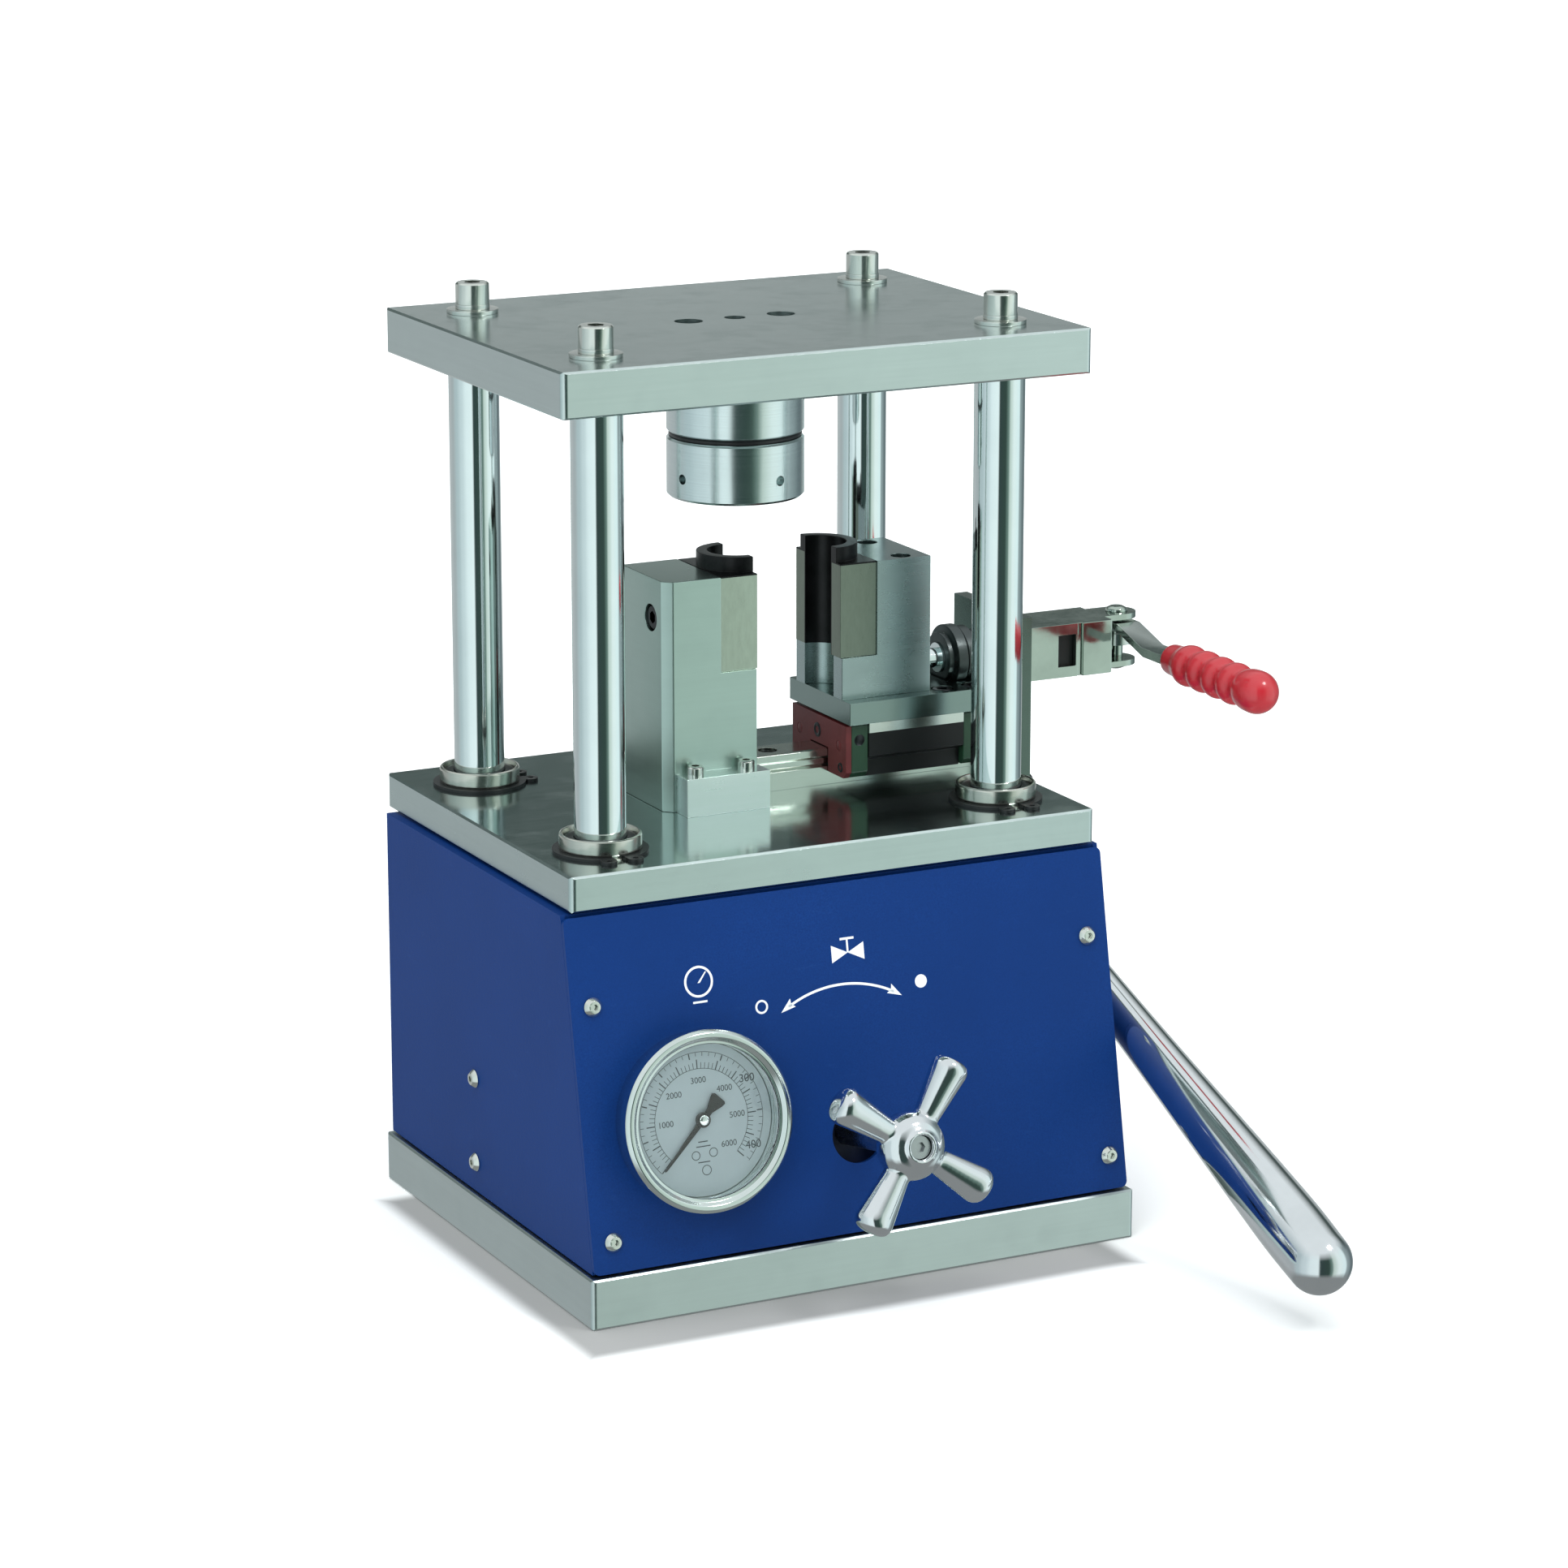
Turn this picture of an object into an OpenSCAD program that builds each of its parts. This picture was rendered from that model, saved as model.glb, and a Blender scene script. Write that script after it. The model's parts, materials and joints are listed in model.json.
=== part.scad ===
// Hand-pumped bench press with a toggle-closed cell clamp.
// The origin is on the table, under the press axis. Front is -Y, up is +Z.

/* [Plates] */
// Base plate width
base_w = 236; // [180:1:320]
// Base plate thickness
base_t = 20; // [12:1:30]
// Front edge of the base, in front of the press axis
base_front = 116; // [90:1:150]
// Back edge of the base, behind the press axis
base_back = 85; // [70:1:120]
// Moving plate width
platen_w = 226; // [160:1:300]
// Moving plate depth
platen_d = 178; // [120:1:240]
// Moving plate thickness
platen_t = 14; // [8:1:25]
// Underside of the moving plate when it is down
platen_z = 156; // [120:1:200]
// Top plate width
top_w = 224; // [160:1:300]
// Top plate depth
top_d = 168; // [120:1:240]
// Top plate thickness
top_t = 17.8; // [8:0.1:30]
// Underside of the top plate
top_z = 342.2; // [250:0.1:450]
// Chamfer on plate edges
edge_c = 0.8; // [0.2:0.1:2]

/* [Columns] */
// Column diameter
col_d = 20; // [12:1:30]
// Column position left and right of the axis
col_x = 86; // [60:1:120]
// Column position in front of and behind the axis
col_y = 57.5; // [40:0.5:90]
// Linear bearing outside diameter
bush_d = 32; // [24:1:45]
// Linear bearing length
bush_len = 42; // [25:1:60]
// Height of the bearing above the moving plate
bush_up = 7.3; // [3:0.1:15]

/* [Housing] */
// Housing width
house_w = 232; // [170:1:300]
// Sheet thickness
sheet_t = 2; // [1:0.5:3]
// Height of the housing top
house_top = 155; // [110:0.5:200]
// Lean of the front panel from upright
lean = 10.9; // [0:0.1:25]
// Front of the panel's lower edge
panel_foot_y = -114; // [-150:1:-80]
// Height of the panel's lower edge
panel_foot_z = 21; // [15:1:40]

/* [Gauge and valve] */
// Gauge bezel diameter
gauge_d = 70; // [40:1:100]
// Gauge position across the panel
gauge_x = -68.6; // [-90:0.1:90]
// Gauge position up the panel
gauge_s = 53.6; // [40:0.1:90]
// Valve position across the panel
valve_x = -0.5; // [-60:0.5:60]
// Valve position up the panel
valve_s = 37.7; // [25:0.1:90]
// Distance of the handle spokes from the panel
handle_out = 44; // [20:1:70]
// Length of a handle spoke from the valve axis
spoke_len = 36.8; // [20:0.1:60]
// Turn of the handle spokes
spoke_turn = 54.8; // [0:0.1:90]

/* [Die] */
// Upper die diameter
die_d = 54; // [30:1:90]
// Height of the die's lower face
die_z = 290.5; // [260:0.5:320]
// Height of the groove between holder and die
groove_z = 314; // [300:0.5:335]

/* [Jaws] */
// Width of the open gap between the jaws
jaw_gap = 36.5; // [10:0.5:60]
// Jaw block length along the slide
jaw_len = 40; // [25:1:60]
// Jaw width
jaw_w = 40; // [25:1:70]
// Height of the jaw tops
jaw_top = 262; // [220:1:290]
// Radius of the half bore that holds the cell
cell_r = 11.2; // [4:0.1:20]
// Height of the raised collar on the jaw inserts
collar_h = 6; // [0:0.5:12]
// Jaw insert length along the slide
insert_len = 16; // [8:1:25]
// Lower end of the jaw inserts
insert_z = 224; // [200:1:250]

/* [Slide and clamp] */
// Rail width
rail_w = 15; // [9:1:25]
// Rail height
rail_h = 15; // [6:1:25]
// Carriage width
car_w = 48; // [30:1:80]
// Height of the clamp axis
clamp_z = 215; // [190:1:240]
// Clamp lever pivot position
pivot_x = 174; // [150:1:220]
// Distance between the two pins of the clamp lever
crank_len = 22; // [12:0.5:40]
// Distance between the two pins of the clamp link
link_len = 27.7; // [15:0.1:50]
// Direction of the clamp crank when the jaws are open
crank_turn = 80; // [45:1:120]

/* [Pump lever] */
// Lever position right of the axis
lever_x = 128; // [120:1:150]
// Rock shaft position in front of or behind the axis
shaft_y = 10; // [-20:1:40]
// Rock shaft height
shaft_z = 121.6; // [90:0.1:140]
// Droop of the lever at rest
droop = 21.2; // [0:0.1:40]
// Length of the lever from the rock shaft to its rounded end
lever_len = 275.9; // [150:0.1:350]

/* [Hidden] */
$fn = 64;
platen_top = platen_z + platen_t;
top_top = top_z + top_t;
rail_top = platen_top + rail_h;
car_top = rail_top + 13;
adapter_t = 9;
jaw_z = car_top + adapter_t;
brk_x = platen_w / 2;
brk_t = 6;
panel_len = 135.6;
panel_mid = panel_len / 2;
panel_spots = [[-107, 11.7], [109, 13.4], [-107, 101.3], [107, 101.3]];
brk_w = 54;
brk_top = 234;
pin_bx = pivot_x + crank_len * cos(crank_turn);
pin_by = crank_len * sin(crank_turn);
pin_cx = pin_bx - sqrt(link_len * link_len - pin_by * pin_by);
pump_x = 88;
pump_y = -15;
pin_drop = (shaft_y - pump_y) * tan(droop);

// ---------- shared shapes ----------

// Four places, one at each column
module at_columns() {
    for (sx = [-1, 1])
        for (sy = [-1, 1])
            translate([sx * col_x, sy * col_y, 0])
                children();
}

// Places children on the panel: X across, Y up the slope, Z out of the panel
module on_panel(x = 0, s = 0, out = 0) {
    translate([0, panel_foot_y, panel_foot_z])
        rotate([90 - lean, 0, 0])
            translate([x, s, out])
                children();
}

// Rectangle with true round corners
module round_rect(w, d, r) {
    square([w - 2 * r, d], center = true);
    square([w, d - 2 * r], center = true);
    for (sx = [-1, 1])
        for (sy = [-1, 1])
            translate([sx * (w / 2 - r), sy * (d / 2 - r)])
                circle(r = r);
}

// Outline of a slab seen from its end
module bevel(w, h, c) {
    polygon([[-w / 2 + c, 0], [w / 2 - c, 0], [w / 2, c], [w / 2, h - c],
             [w / 2 - c, h], [-w / 2 + c, h], [-w / 2, h - c], [-w / 2, c]]);
}

// Slab centred on X and Y with round corners and bevelled edges
module slab(w, d, h, c, r) {
    intersection() {
        linear_extrude(h)
            round_rect(w, d, r);
        translate([0, d, 0])
            rotate([90, 0, 0])
                linear_extrude(2 * d)
                    bevel(w, h, c);
        translate([-w, 0, 0])
            rotate([90, 0, 90])
                linear_extrude(2 * w)
                    bevel(d, h, c);
    }
}

// Socket head screw, head standing on z = 0
module cap_screw(r, head_r, head_h, len, key_r) {
    difference() {
        union() {
            rotate_extrude()
                polygon([[0, 0], [head_r, 0], [head_r, head_h - 0.6], [head_r - 0.6, head_h], [0, head_h]]);
            translate([0, 0, -len])
                cylinder(h = len + 0.1, r = r);
        }
        translate([0, 0, head_h * 0.45])
            cylinder(h = head_h, r = key_r, $fn = 6);
    }
}

// Low round head screw, head standing on z = 0
module button_screw(r, head_r, head_h, len, key_r) {
    difference() {
        union() {
            rotate_extrude()
                polygon([[0, 0], [head_r, 0], [head_r, 0.5], [head_r - 0.5, head_h * 0.55],
                         [head_r * 0.62, head_h], [0, head_h]]);
            translate([0, 0, -len])
                cylinder(h = len + 0.1, r = r);
        }
        translate([0, 0, head_h * 0.4])
            cylinder(h = head_h, r = key_r, $fn = 6);
    }
}

// ---------- fixed frame ----------

module base_plate() {
    color([0.72, 0.74, 0.73])
    difference() {
        translate([0, (base_back - base_front) / 2, 0])
            slab(base_w, base_front + base_back, base_t, edge_c, 2);
        at_columns() {
            translate([0, 0, -1])
                cylinder(h = base_t + 2, r = 4.5);
            translate([0, 0, -1])
                cylinder(h = 10, r = 7.5);
        }
    }
}

module guide_columns() {
    color([0.85, 0.87, 0.88])
    at_columns()
        difference() {
            translate([0, 0, base_t])
                cylinder(h = top_z - base_t, d = col_d);
            translate([0, 0, base_t - 1])
                cylinder(h = 26, r = 4.1);
            translate([0, 0, top_z - 25])
                cylinder(h = 26, r = 4.1);
        }
}

module base_bolts() {
    color([0.6, 0.6, 0.6])
    at_columns()
        translate([0, 0, 9])
            rotate([180, 0, 0])
                cap_screw(4, 6.6, 8, 30, 3.4);
}

module top_plate() {
    color([0.72, 0.74, 0.73])
    difference() {
        translate([0, 0, top_z])
            slab(top_w, top_d, top_t, edge_c, 2.5);
        at_columns()
            translate([0, 0, top_z - 1])
                cylinder(h = top_t + 2, r = 4.5);
        for (x = [-20, 20])
            translate([x, 0, top_z - 1]) {
                cylinder(h = top_t + 2, r = 3.3);
                translate([0, 0, 9])
                    cylinder(h = top_t, r = 5.6);
            }
        translate([0, 0, top_z - 1])
            cylinder(h = top_t + 2, r = 4.2);
    }
}

module top_bolts() {
    color([0.78, 0.78, 0.76])
    at_columns()
        translate([0, 0, top_top + 3.6])
            cap_screw(4, 6.65, 8.4, 38, 3.4);
}

module spring_washers() {
    color([0.7, 0.7, 0.68])
    at_columns()
        translate([0, 0, top_top + 1.6])
            difference() {
                cylinder(h = 2, r = 6.8);
                translate([0, 0, -1])
                    cylinder(h = 4, r = 4.4);
                translate([3, -0.4, -1])
                    cube([6, 0.8, 4]);
            }
}

module flat_washers() {
    color([0.75, 0.75, 0.73])
    at_columns()
        translate([0, 0, top_top])
            difference() {
                cylinder(h = 1.6, r = 10.2);
                translate([0, 0, -1])
                    cylinder(h = 4, r = 4.4);
            }
}

module side_wall() {
    back = base_back - 2;
    front = panel_foot_y + (sheet_t + 0.1) / cos(lean);
    rise = house_top - base_t - 0.8;
    rotate([90, 0, 90])
        linear_extrude(sheet_t)
            polygon([[front, base_t + 0.8], [back, base_t + 0.8], [back, house_top],
                     [front + rise * tan(lean), house_top]]);
}

module housing_shell() {
    back = base_back - 2;
    half = house_w / 2;
    rim_front = panel_foot_y + (sheet_t + 0.1) / cos(lean) + (house_top - base_t) * tan(lean);
    color([0.10, 0.20, 0.50])
    difference() {
        union() {
            translate([-half, 0, 0])
                side_wall();
            translate([half - sheet_t, 0, 0])
                side_wall();
            translate([-half, back - sheet_t, base_t + 0.8])
                cube([house_w, sheet_t, house_top - base_t - 0.8]);
            translate([-half, rim_front, house_top - sheet_t])
                difference() {
                    cube([house_w, back - rim_front, sheet_t]);
                    translate([9, 9, -1])
                        cube([house_w - 18, back - rim_front - 18, sheet_t + 2]);
                }
            for (side = [0, 1])
                mirror([side, 0, 0])
                    on_panel(half - 15, 1, -4.2)
                        cube([15, panel_len - 2, sheet_t]);
        }
        for (p = panel_spots)
            on_panel(p[0], p[1], -10)
                cylinder(h = 12, r = 2.3);
        for (z = [33, 67.5]) {
            translate([-half - 1, -3, z])
                rotate([0, 90, 0])
                    cylinder(h = 4, r = 2.3);
            translate([half - 3, shaft_y, z])
                rotate([0, 90, 0])
                    cylinder(h = 4, r = 2.3);
        }
        translate([half - 3, shaft_y, shaft_z])
            rotate([0, 90, 0])
                cylinder(h = 4, r = 9);
        for (x = [-60 : 12 : 60])
            translate([x, back - 3, 100])
                cube([5, 6, 26]);
    }
}

module front_panel() {
    color([0.10, 0.20, 0.50])
    on_panel(0, panel_mid, -sheet_t)
        difference() {
            linear_extrude(sheet_t)
                round_rect(house_w, panel_len, 2.5);
            for (p = panel_spots)
                translate([p[0], p[1] - panel_mid, -1])
                    cylinder(h = 4, r = 2.3);
            translate([gauge_x, gauge_s - panel_mid, -1])
                cylinder(h = 4, d = gauge_d - 8);
            translate([valve_x, valve_s - panel_mid, -1])
                cylinder(h = 4, r = 11.2);
        }
}

module panel_screws() {
    color([0.75, 0.75, 0.75])
    for (p = panel_spots)
        on_panel(p[0], p[1], 0)
            button_screw(2, 3.7, 2.2, 9, 1.3);
}

module side_screws() {
    color([0.75, 0.75, 0.75])
    for (z = [33, 67.5]) {
        translate([-house_w / 2, -3, z])
            rotate([0, -90, 0])
                button_screw(2, 3.7, 2.2, 8, 1.3);
        translate([house_w / 2, shaft_y, z])
            rotate([0, 90, 0])
                button_screw(2, 3.7, 2.2, 8, 1.3);
    }
}

module press_cylinder() {
    color([0.35, 0.36, 0.38])
    difference() {
        union() {
            translate([0, 0, base_t])
                cylinder(h = 12, d = 104);
            translate([0, 0, base_t + 12])
                cylinder(h = 92, d = 84);
            translate([-50, -14, base_t + 12])
                cube([100, 28, 22]);
            translate([-14, -50, base_t + 12])
                cube([28, 40, 22]);
        }
        translate([0, 0, base_t + 10])
            cylinder(h = 200, r = 25.05);
    }
}

module oil_tank() {
    color([0.30, 0.31, 0.33])
    difference() {
        translate([-house_w / 2 + sheet_t, -38, base_t])
            cube([50, 76, 88]);
        for (z = [33, 67.5])
            translate([-house_w / 2, -3, z])
                rotate([0, 90, 0])
                    cylinder(h = 9, r = 2.2);
    }
}

module pump_block() {
    color([0.35, 0.36, 0.38])
    difference() {
        union() {
            translate([64, -38, base_t])
                cube([44, 34, 40]);
            translate([pump_x, pump_y, base_t + 40])
                cylinder(h = 30, d = 26);
        }
        translate([pump_x, pump_y, base_t + 8])
            cylinder(h = 80, r = 7.05);
    }
}

module shaft_pedestal() {
    color([0.45, 0.46, 0.48])
    difference() {
        translate([house_w / 2 - sheet_t - 10, shaft_y - 13, base_t])
            cube([10, 26, shaft_z - base_t + 14]);
        translate([90, shaft_y, shaft_z])
            rotate([0, 90, 0])
                cylinder(h = 40, r = 8.05);
        for (z = [33, 67.5])
            translate([house_w / 2 - 9, shaft_y, z])
                rotate([0, 90, 0])
                    cylinder(h = 9, r = 2.2);
    }
}

module valve_block() {
    color([0.45, 0.46, 0.48])
    on_panel(valve_x, valve_s, -48)
        difference() {
            translate([-16, -16, 8])
                cube([32, 32, 30]);
            translate([0, 0, 14])
                cylinder(h = 60, r = 5.05);
        }
}

module oil_pipes() {
    color([0.70, 0.55, 0.30])
    {
        translate([50, -10, base_t + 23])
            rotate([0, 90, 0])
                cylinder(h = 14, r = 3);
        translate([-64, 8, base_t + 23])
            rotate([0, 90, 0])
                cylinder(h = 14, r = 3);
    }
}

module gauge_case() {
    color([0.78, 0.79, 0.78])
    on_panel(gauge_x, gauge_s, 0)
        difference() {
            union() {
                translate([0, 0, -26])
                    cylinder(h = 33, d = gauge_d - 9);
                cylinder(h = 7, d = gauge_d - 3);
                translate([0, 0, -38])
                    cylinder(h = 13, r = 7);
            }
            translate([0, 0, 3.2])
                cylinder(h = 10, d = gauge_d - 11);
        }
}

module gauge_bezel() {
    color([0.86, 0.87, 0.87])
    on_panel(gauge_x, gauge_s, 0)
        rotate_extrude($fn = 96)
            polygon([[gauge_d / 2 - 5.5, 7], [gauge_d / 2 - 0.5, 7], [gauge_d / 2, 7.6],
                     [gauge_d / 2, 12.4], [gauge_d / 2 - 1.4, 13.8], [gauge_d / 2 - 3, 13.8],
                     [gauge_d / 2 - 4.4, 12.2], [gauge_d / 2 - 5.5, 12.2]]);
}

module gauge_dial() {
    color([0.93, 0.94, 0.92])
    on_panel(gauge_x, gauge_s, 3.2)
        difference() {
            cylinder(h = 1.2, d = gauge_d - 11.4);
            translate([0, 0, -1])
                cylinder(h = 4, r = 1.6);
        }
}

module gauge_glass() {
    color([0.9, 0.95, 0.95, 0.3])
    on_panel(gauge_x, gauge_s, 9.8)
        cylinder(h = 1.8, d = gauge_d - 11.4);
}

module gauge_needle() {
    color([0.05, 0.05, 0.05])
    on_panel(gauge_x, gauge_s, 0)
        rotate([0, 0, 225]) {
            translate([0, 0, 5.4])
                linear_extrude(0.8)
                    polygon([[-10, -2.6], [-4, -0.9], [24, -0.3], [24, 0.3], [-4, 0.9], [-10, 2.6]]);
            translate([0, 0, 3.4])
                cylinder(h = 3.6, r = 1.5);
            translate([0, 0, 5.2])
                cylinder(h = 1.8, r = 2.6);
        }
}

module die_holder() {
    color([0.78, 0.79, 0.78])
    difference() {
        rotate_extrude()
            polygon([[0, groove_z + 2], [die_d / 2 - 0.8, groove_z + 2], [die_d / 2, groove_z + 2.8],
                     [die_d / 2, top_z], [0, top_z]]);
        for (x = [-20, 20])
            translate([x, 0, top_z - 15])
                cylinder(h = 16, r = 3.1);
        translate([0, 0, groove_z - 1])
            cylinder(h = 60, r = 4.2);
    }
}

module crimp_die() {
    color([0.78, 0.79, 0.78])
    difference() {
        rotate_extrude()
            polygon([[0, die_z + 4], [9, die_z + 4], [11, die_z], [die_d / 2 - 1, die_z],
                     [die_d / 2, die_z + 1], [die_d / 2, groove_z - 0.8], [die_d / 2 - 0.8, groove_z],
                     [die_d / 2 - 4, groove_z], [die_d / 2 - 4, groove_z + 2], [0, groove_z + 2]]);
        for (a = [14 : 90 : 284])
            rotate([0, 0, a])
                translate([die_d / 2 - 7, 0, die_z + 8.8])
                    rotate([0, 90, 0])
                        cylinder(h = 10, r = 2);
        translate([0, 0, die_z])
            cylinder(h = 60, r = 4.2);
    }
}

module die_screws() {
    color([0.35, 0.35, 0.35])
    for (x = [-20, 20])
        translate([x, 0, top_z + 8])
            cap_screw(3, 5, 6, 22, 2.6);
}

// ---------- moving plate and what it carries ----------

module moving_plate() {
    color([0.72, 0.74, 0.73])
    difference() {
        translate([0, 0, platen_z])
            slab(platen_w, platen_d, platen_t, edge_c, 2.5);
        at_columns()
            translate([0, 0, platen_z - 1])
                cylinder(h = platen_t + 2, d = bush_d);
    }
}

module linear_bearings() {
    low = platen_top + bush_up - bush_len;
    high = platen_top + bush_up;
    r = bush_d / 2;
    color([0.80, 0.78, 0.72])
    at_columns()
        rotate_extrude()
            polygon([[col_d / 2 + 0.05, low + 3], [r - 3, low], [r - 0.6, low], [r, low + 0.6],
                     [r, platen_top], [r - 0.7, platen_top], [r - 0.7, platen_top + 1.6],
                     [r, platen_top + 1.6], [r, high - 0.6], [r - 0.5, high], [r - 1.4, high],
                     [r - 1.8, high - 2.4], [col_d / 2 + 0.05, high - 2.4]]);
}

module bearing_circlips() {
    color([0.08, 0.08, 0.08])
    for (sx = [-1, 1])
        for (sy = [-1, 1])
            translate([sx * col_x, sy * col_y, platen_top])
                rotate([0, 0, sy < 0 ? -90 : sx < 0 ? 0 : 180])
                    linear_extrude(1.2)
                        difference() {
                            union() {
                                circle(r = 18.6);
                                translate([19.5, -5.5])
                                    circle(r = 3.2);
                                translate([19.5, 5.5])
                                    circle(r = 3.2);
                            }
                            circle(r = bush_d / 2 - 0.65);
                            translate([10, -2.2])
                                square([20, 4.4]);
                            translate([19.8, -5.5])
                                circle(r = 1.1);
                            translate([19.8, 5.5])
                                circle(r = 1.1);
                        }
}

module press_ram() {
    color([0.82, 0.84, 0.85])
    difference() {
        translate([0, 0, base_t + 14])
            cylinder(h = platen_z - base_t - 14, r = 25);
        for (z = [60, 72])
            translate([0, 0, z])
                difference() {
                    cylinder(h = 4, r = 30);
                    translate([0, 0, -1])
                        cylinder(h = 6, r = 23);
                }
    }
}

// Jaw block with a half bore, mating face on x = 0, block on the -X side
module jaw_block(low, high) {
    c = 3.5;
    difference() {
        translate([0, 0, low])
            linear_extrude(high - low)
                polygon([[-jaw_len - 0.5, -jaw_w / 2 + c], [-jaw_len - 0.5 + c, -jaw_w / 2],
                         [-0.5, -jaw_w / 2], [-0.5, jaw_w / 2], [-jaw_len - 0.5, jaw_w / 2]]);
        translate([-insert_len, -jaw_w, insert_z])
            cube([insert_len + 1, 2 * jaw_w, high]);
        translate([0, 0, low - 1])
            cylinder(h = high, r = cell_r + 1.3);
    }
}

// Hard insert with the half bore and its raised collar, mating face on x = 0
module jaw_insert() {
    difference() {
        union() {
            translate([-insert_len, -jaw_w / 2 + 0.7, insert_z])
                cube([insert_len, jaw_w - 1.4, jaw_top - insert_z]);
            translate([0, 0, insert_z])
                cylinder(h = jaw_top + collar_h - insert_z, r = 15.6);
        }
        translate([0, 0, insert_z - 1])
            cylinder(h = 80, r = cell_r);
        translate([0, -50, insert_z - 1])
            cube([60, 100, 90]);
    }
}

module fixed_jaw() {
    color([0.66, 0.68, 0.68])
    difference() {
        jaw_block(platen_top, jaw_top);
        translate([-jaw_len - 1, -7, 246])
            rotate([0, 90, 0])
                cylinder(h = 7.5, r = 5.3);
        translate([-jaw_len - 1, -7, 246])
            rotate([0, 90, 0])
                cylinder(h = 19, r = 3.1);
    }
}

module fixed_insert() {
    color([0.34, 0.33, 0.30])
    jaw_insert();
}

module jaw_foot() {
    color([0.70, 0.72, 0.72])
    difference() {
        translate([-36, -jaw_w / 2 - 10, platen_top])
            cube([36.2, 10, 15.3]);
        for (x = [-30, -8])
            translate([x, -jaw_w / 2 - 5, platen_top - 1])
                cylinder(h = 20, r = 2.3);
    }
}

module foot_screws() {
    color([0.72, 0.72, 0.70])
    for (x = [-30, -8])
        translate([x, -jaw_w / 2 - 5, platen_top + 15.3])
            cap_screw(2, 3.4, 4, 15, 1.7);
}

module jaw_side_screw() {
    color([0.25, 0.25, 0.25])
    translate([-jaw_len + 6.4, -7, 246])
        rotate([0, -90, 0])
            cap_screw(3, 4.9, 6, 11, 2.6);
}

module slide_rail() {
    color([0.74, 0.74, 0.72])
    difference() {
        translate([1.8, 0, platen_top])
            rotate([90, 0, 90])
                linear_extrude(109)
                    polygon([[-rail_w / 2, 0], [rail_w / 2, 0], [rail_w / 2, 7.4], [rail_w / 2 - 1.6, 8.4],
                             [rail_w / 2 - 1.6, 10.6], [rail_w / 2, 11.8], [rail_w / 2, rail_h - 0.6],
                             [rail_w / 2 - 0.6, rail_h], [-rail_w / 2 + 0.6, rail_h],
                             [-rail_w / 2, rail_h - 0.6], [-rail_w / 2, 11.8],
                             [-rail_w / 2 + 1.6, 10.6], [-rail_w / 2 + 1.6, 8.4], [-rail_w / 2, 7.4]]);
        for (x = [14, 58, 102])
            translate([x, 0, platen_top - 1]) {
                cylinder(h = 20, r = 2.4);
                translate([0, 0, rail_h - 4.5])
                    cylinder(h = 20, r = 3.9);
            }
    }
}

module rail_screws() {
    color([0.15, 0.15, 0.15])
    for (x = [14, 58, 102])
        translate([x, 0, platen_top + rail_h - 5.5])
            cap_screw(2, 3.5, 4, 9.5, 1.7);
}

module clamp_bracket() {
    color([0.66, 0.69, 0.67])
    difference() {
        translate([brk_x, -brk_w / 2, platen_z + 2])
            cube([brk_t, brk_w, brk_top - platen_z - 2]);
        translate([brk_x - 1, 0, clamp_z])
            rotate([0, 90, 0])
                cylinder(h = 20, r = 10);
        for (y = [-18, 18])
            translate([brk_x - 1, y, platen_z + 7])
                rotate([0, 90, 0])
                    cylinder(h = 20, r = 2.7);
    }
}

module bracket_screws() {
    color([0.35, 0.35, 0.35])
    for (y = [-18, 18])
        translate([brk_x + brk_t, y, platen_z + 7])
            rotate([0, 90, 0])
                cap_screw(2.5, 4.2, 5, 6, 2.2);
}

module clamp_frame() {
    x0 = brk_x + brk_t;
    web_end = 164;
    color([0.74, 0.77, 0.74])
    difference() {
        union() {
            for (z = [clamp_z - 11, clamp_z + 8.5])
                translate([0, 0, z])
                    linear_extrude(2.5) {
                        translate([x0, -14])
                            square([web_end - x0, 26]);
                        translate([web_end, -8])
                            square([pivot_x - web_end, 16]);
                        translate([pivot_x, 0])
                            circle(r = 8);
                    }
            translate([x0, -14, clamp_z - 11])
                cube([web_end - x0, 2.5, 22]);
            translate([150, -14.8, clamp_z - 11])
                cube([13.2, 2, 22]);
        }
        translate([139, -20, clamp_z - 6.5])
            cube([8, 12, 13]);
        translate([pivot_x, 0, clamp_z - 20])
            cylinder(h = 40, r = 3);
        translate([148, -15, clamp_z - 20])
            cube([2, 1.5, 40]);
    }
}

module clamp_nose() {
    color([0.60, 0.60, 0.58])
    translate([0, 0, clamp_z])
        rotate([0, 90, 0])
            rotate_extrude()
                polygon([[6.05, 91], [10, 91], [10, 93], [13, 93.8], [13, 98.2], [12, 99],
                         [12, 103], [9.97, 103], [9.97, brk_x + brk_t], [6.05, brk_x + brk_t]]);
}

module frame_pins() {
    color([0.80, 0.80, 0.78])
    translate([pivot_x, 0, clamp_z]) {
        translate([0, 0, -11])
            cylinder(h = 22, r = 2.95);
        for (m = [0, 1])
            mirror([0, 0, m])
                translate([0, 0, 11])
                    rotate_extrude()
                        polygon([[0, 0], [4.6, 0], [4.2, 1.2], [2.6, 2], [0, 2]]);
    }
}

// ---------- sliding carriage ----------

module carriage() {
    color([0.12, 0.12, 0.12])
    translate([jaw_gap + 10.5, 0, platen_top])
        rotate([90, 0, 90])
            linear_extrude(43)
                difference() {
                    polygon([[-car_w / 2, 28], [-car_w / 2, 14], [-car_w / 2 + 4, 12],
                             [-car_w / 2 + 4, 5], [car_w / 2 - 4, 5], [car_w / 2 - 4, 12],
                             [car_w / 2, 14], [car_w / 2, 28]]);
                    translate([-rail_w / 2 - 0.4, 0])
                        square([rail_w + 0.8, rail_h + 0.4]);
                }
}

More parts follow.
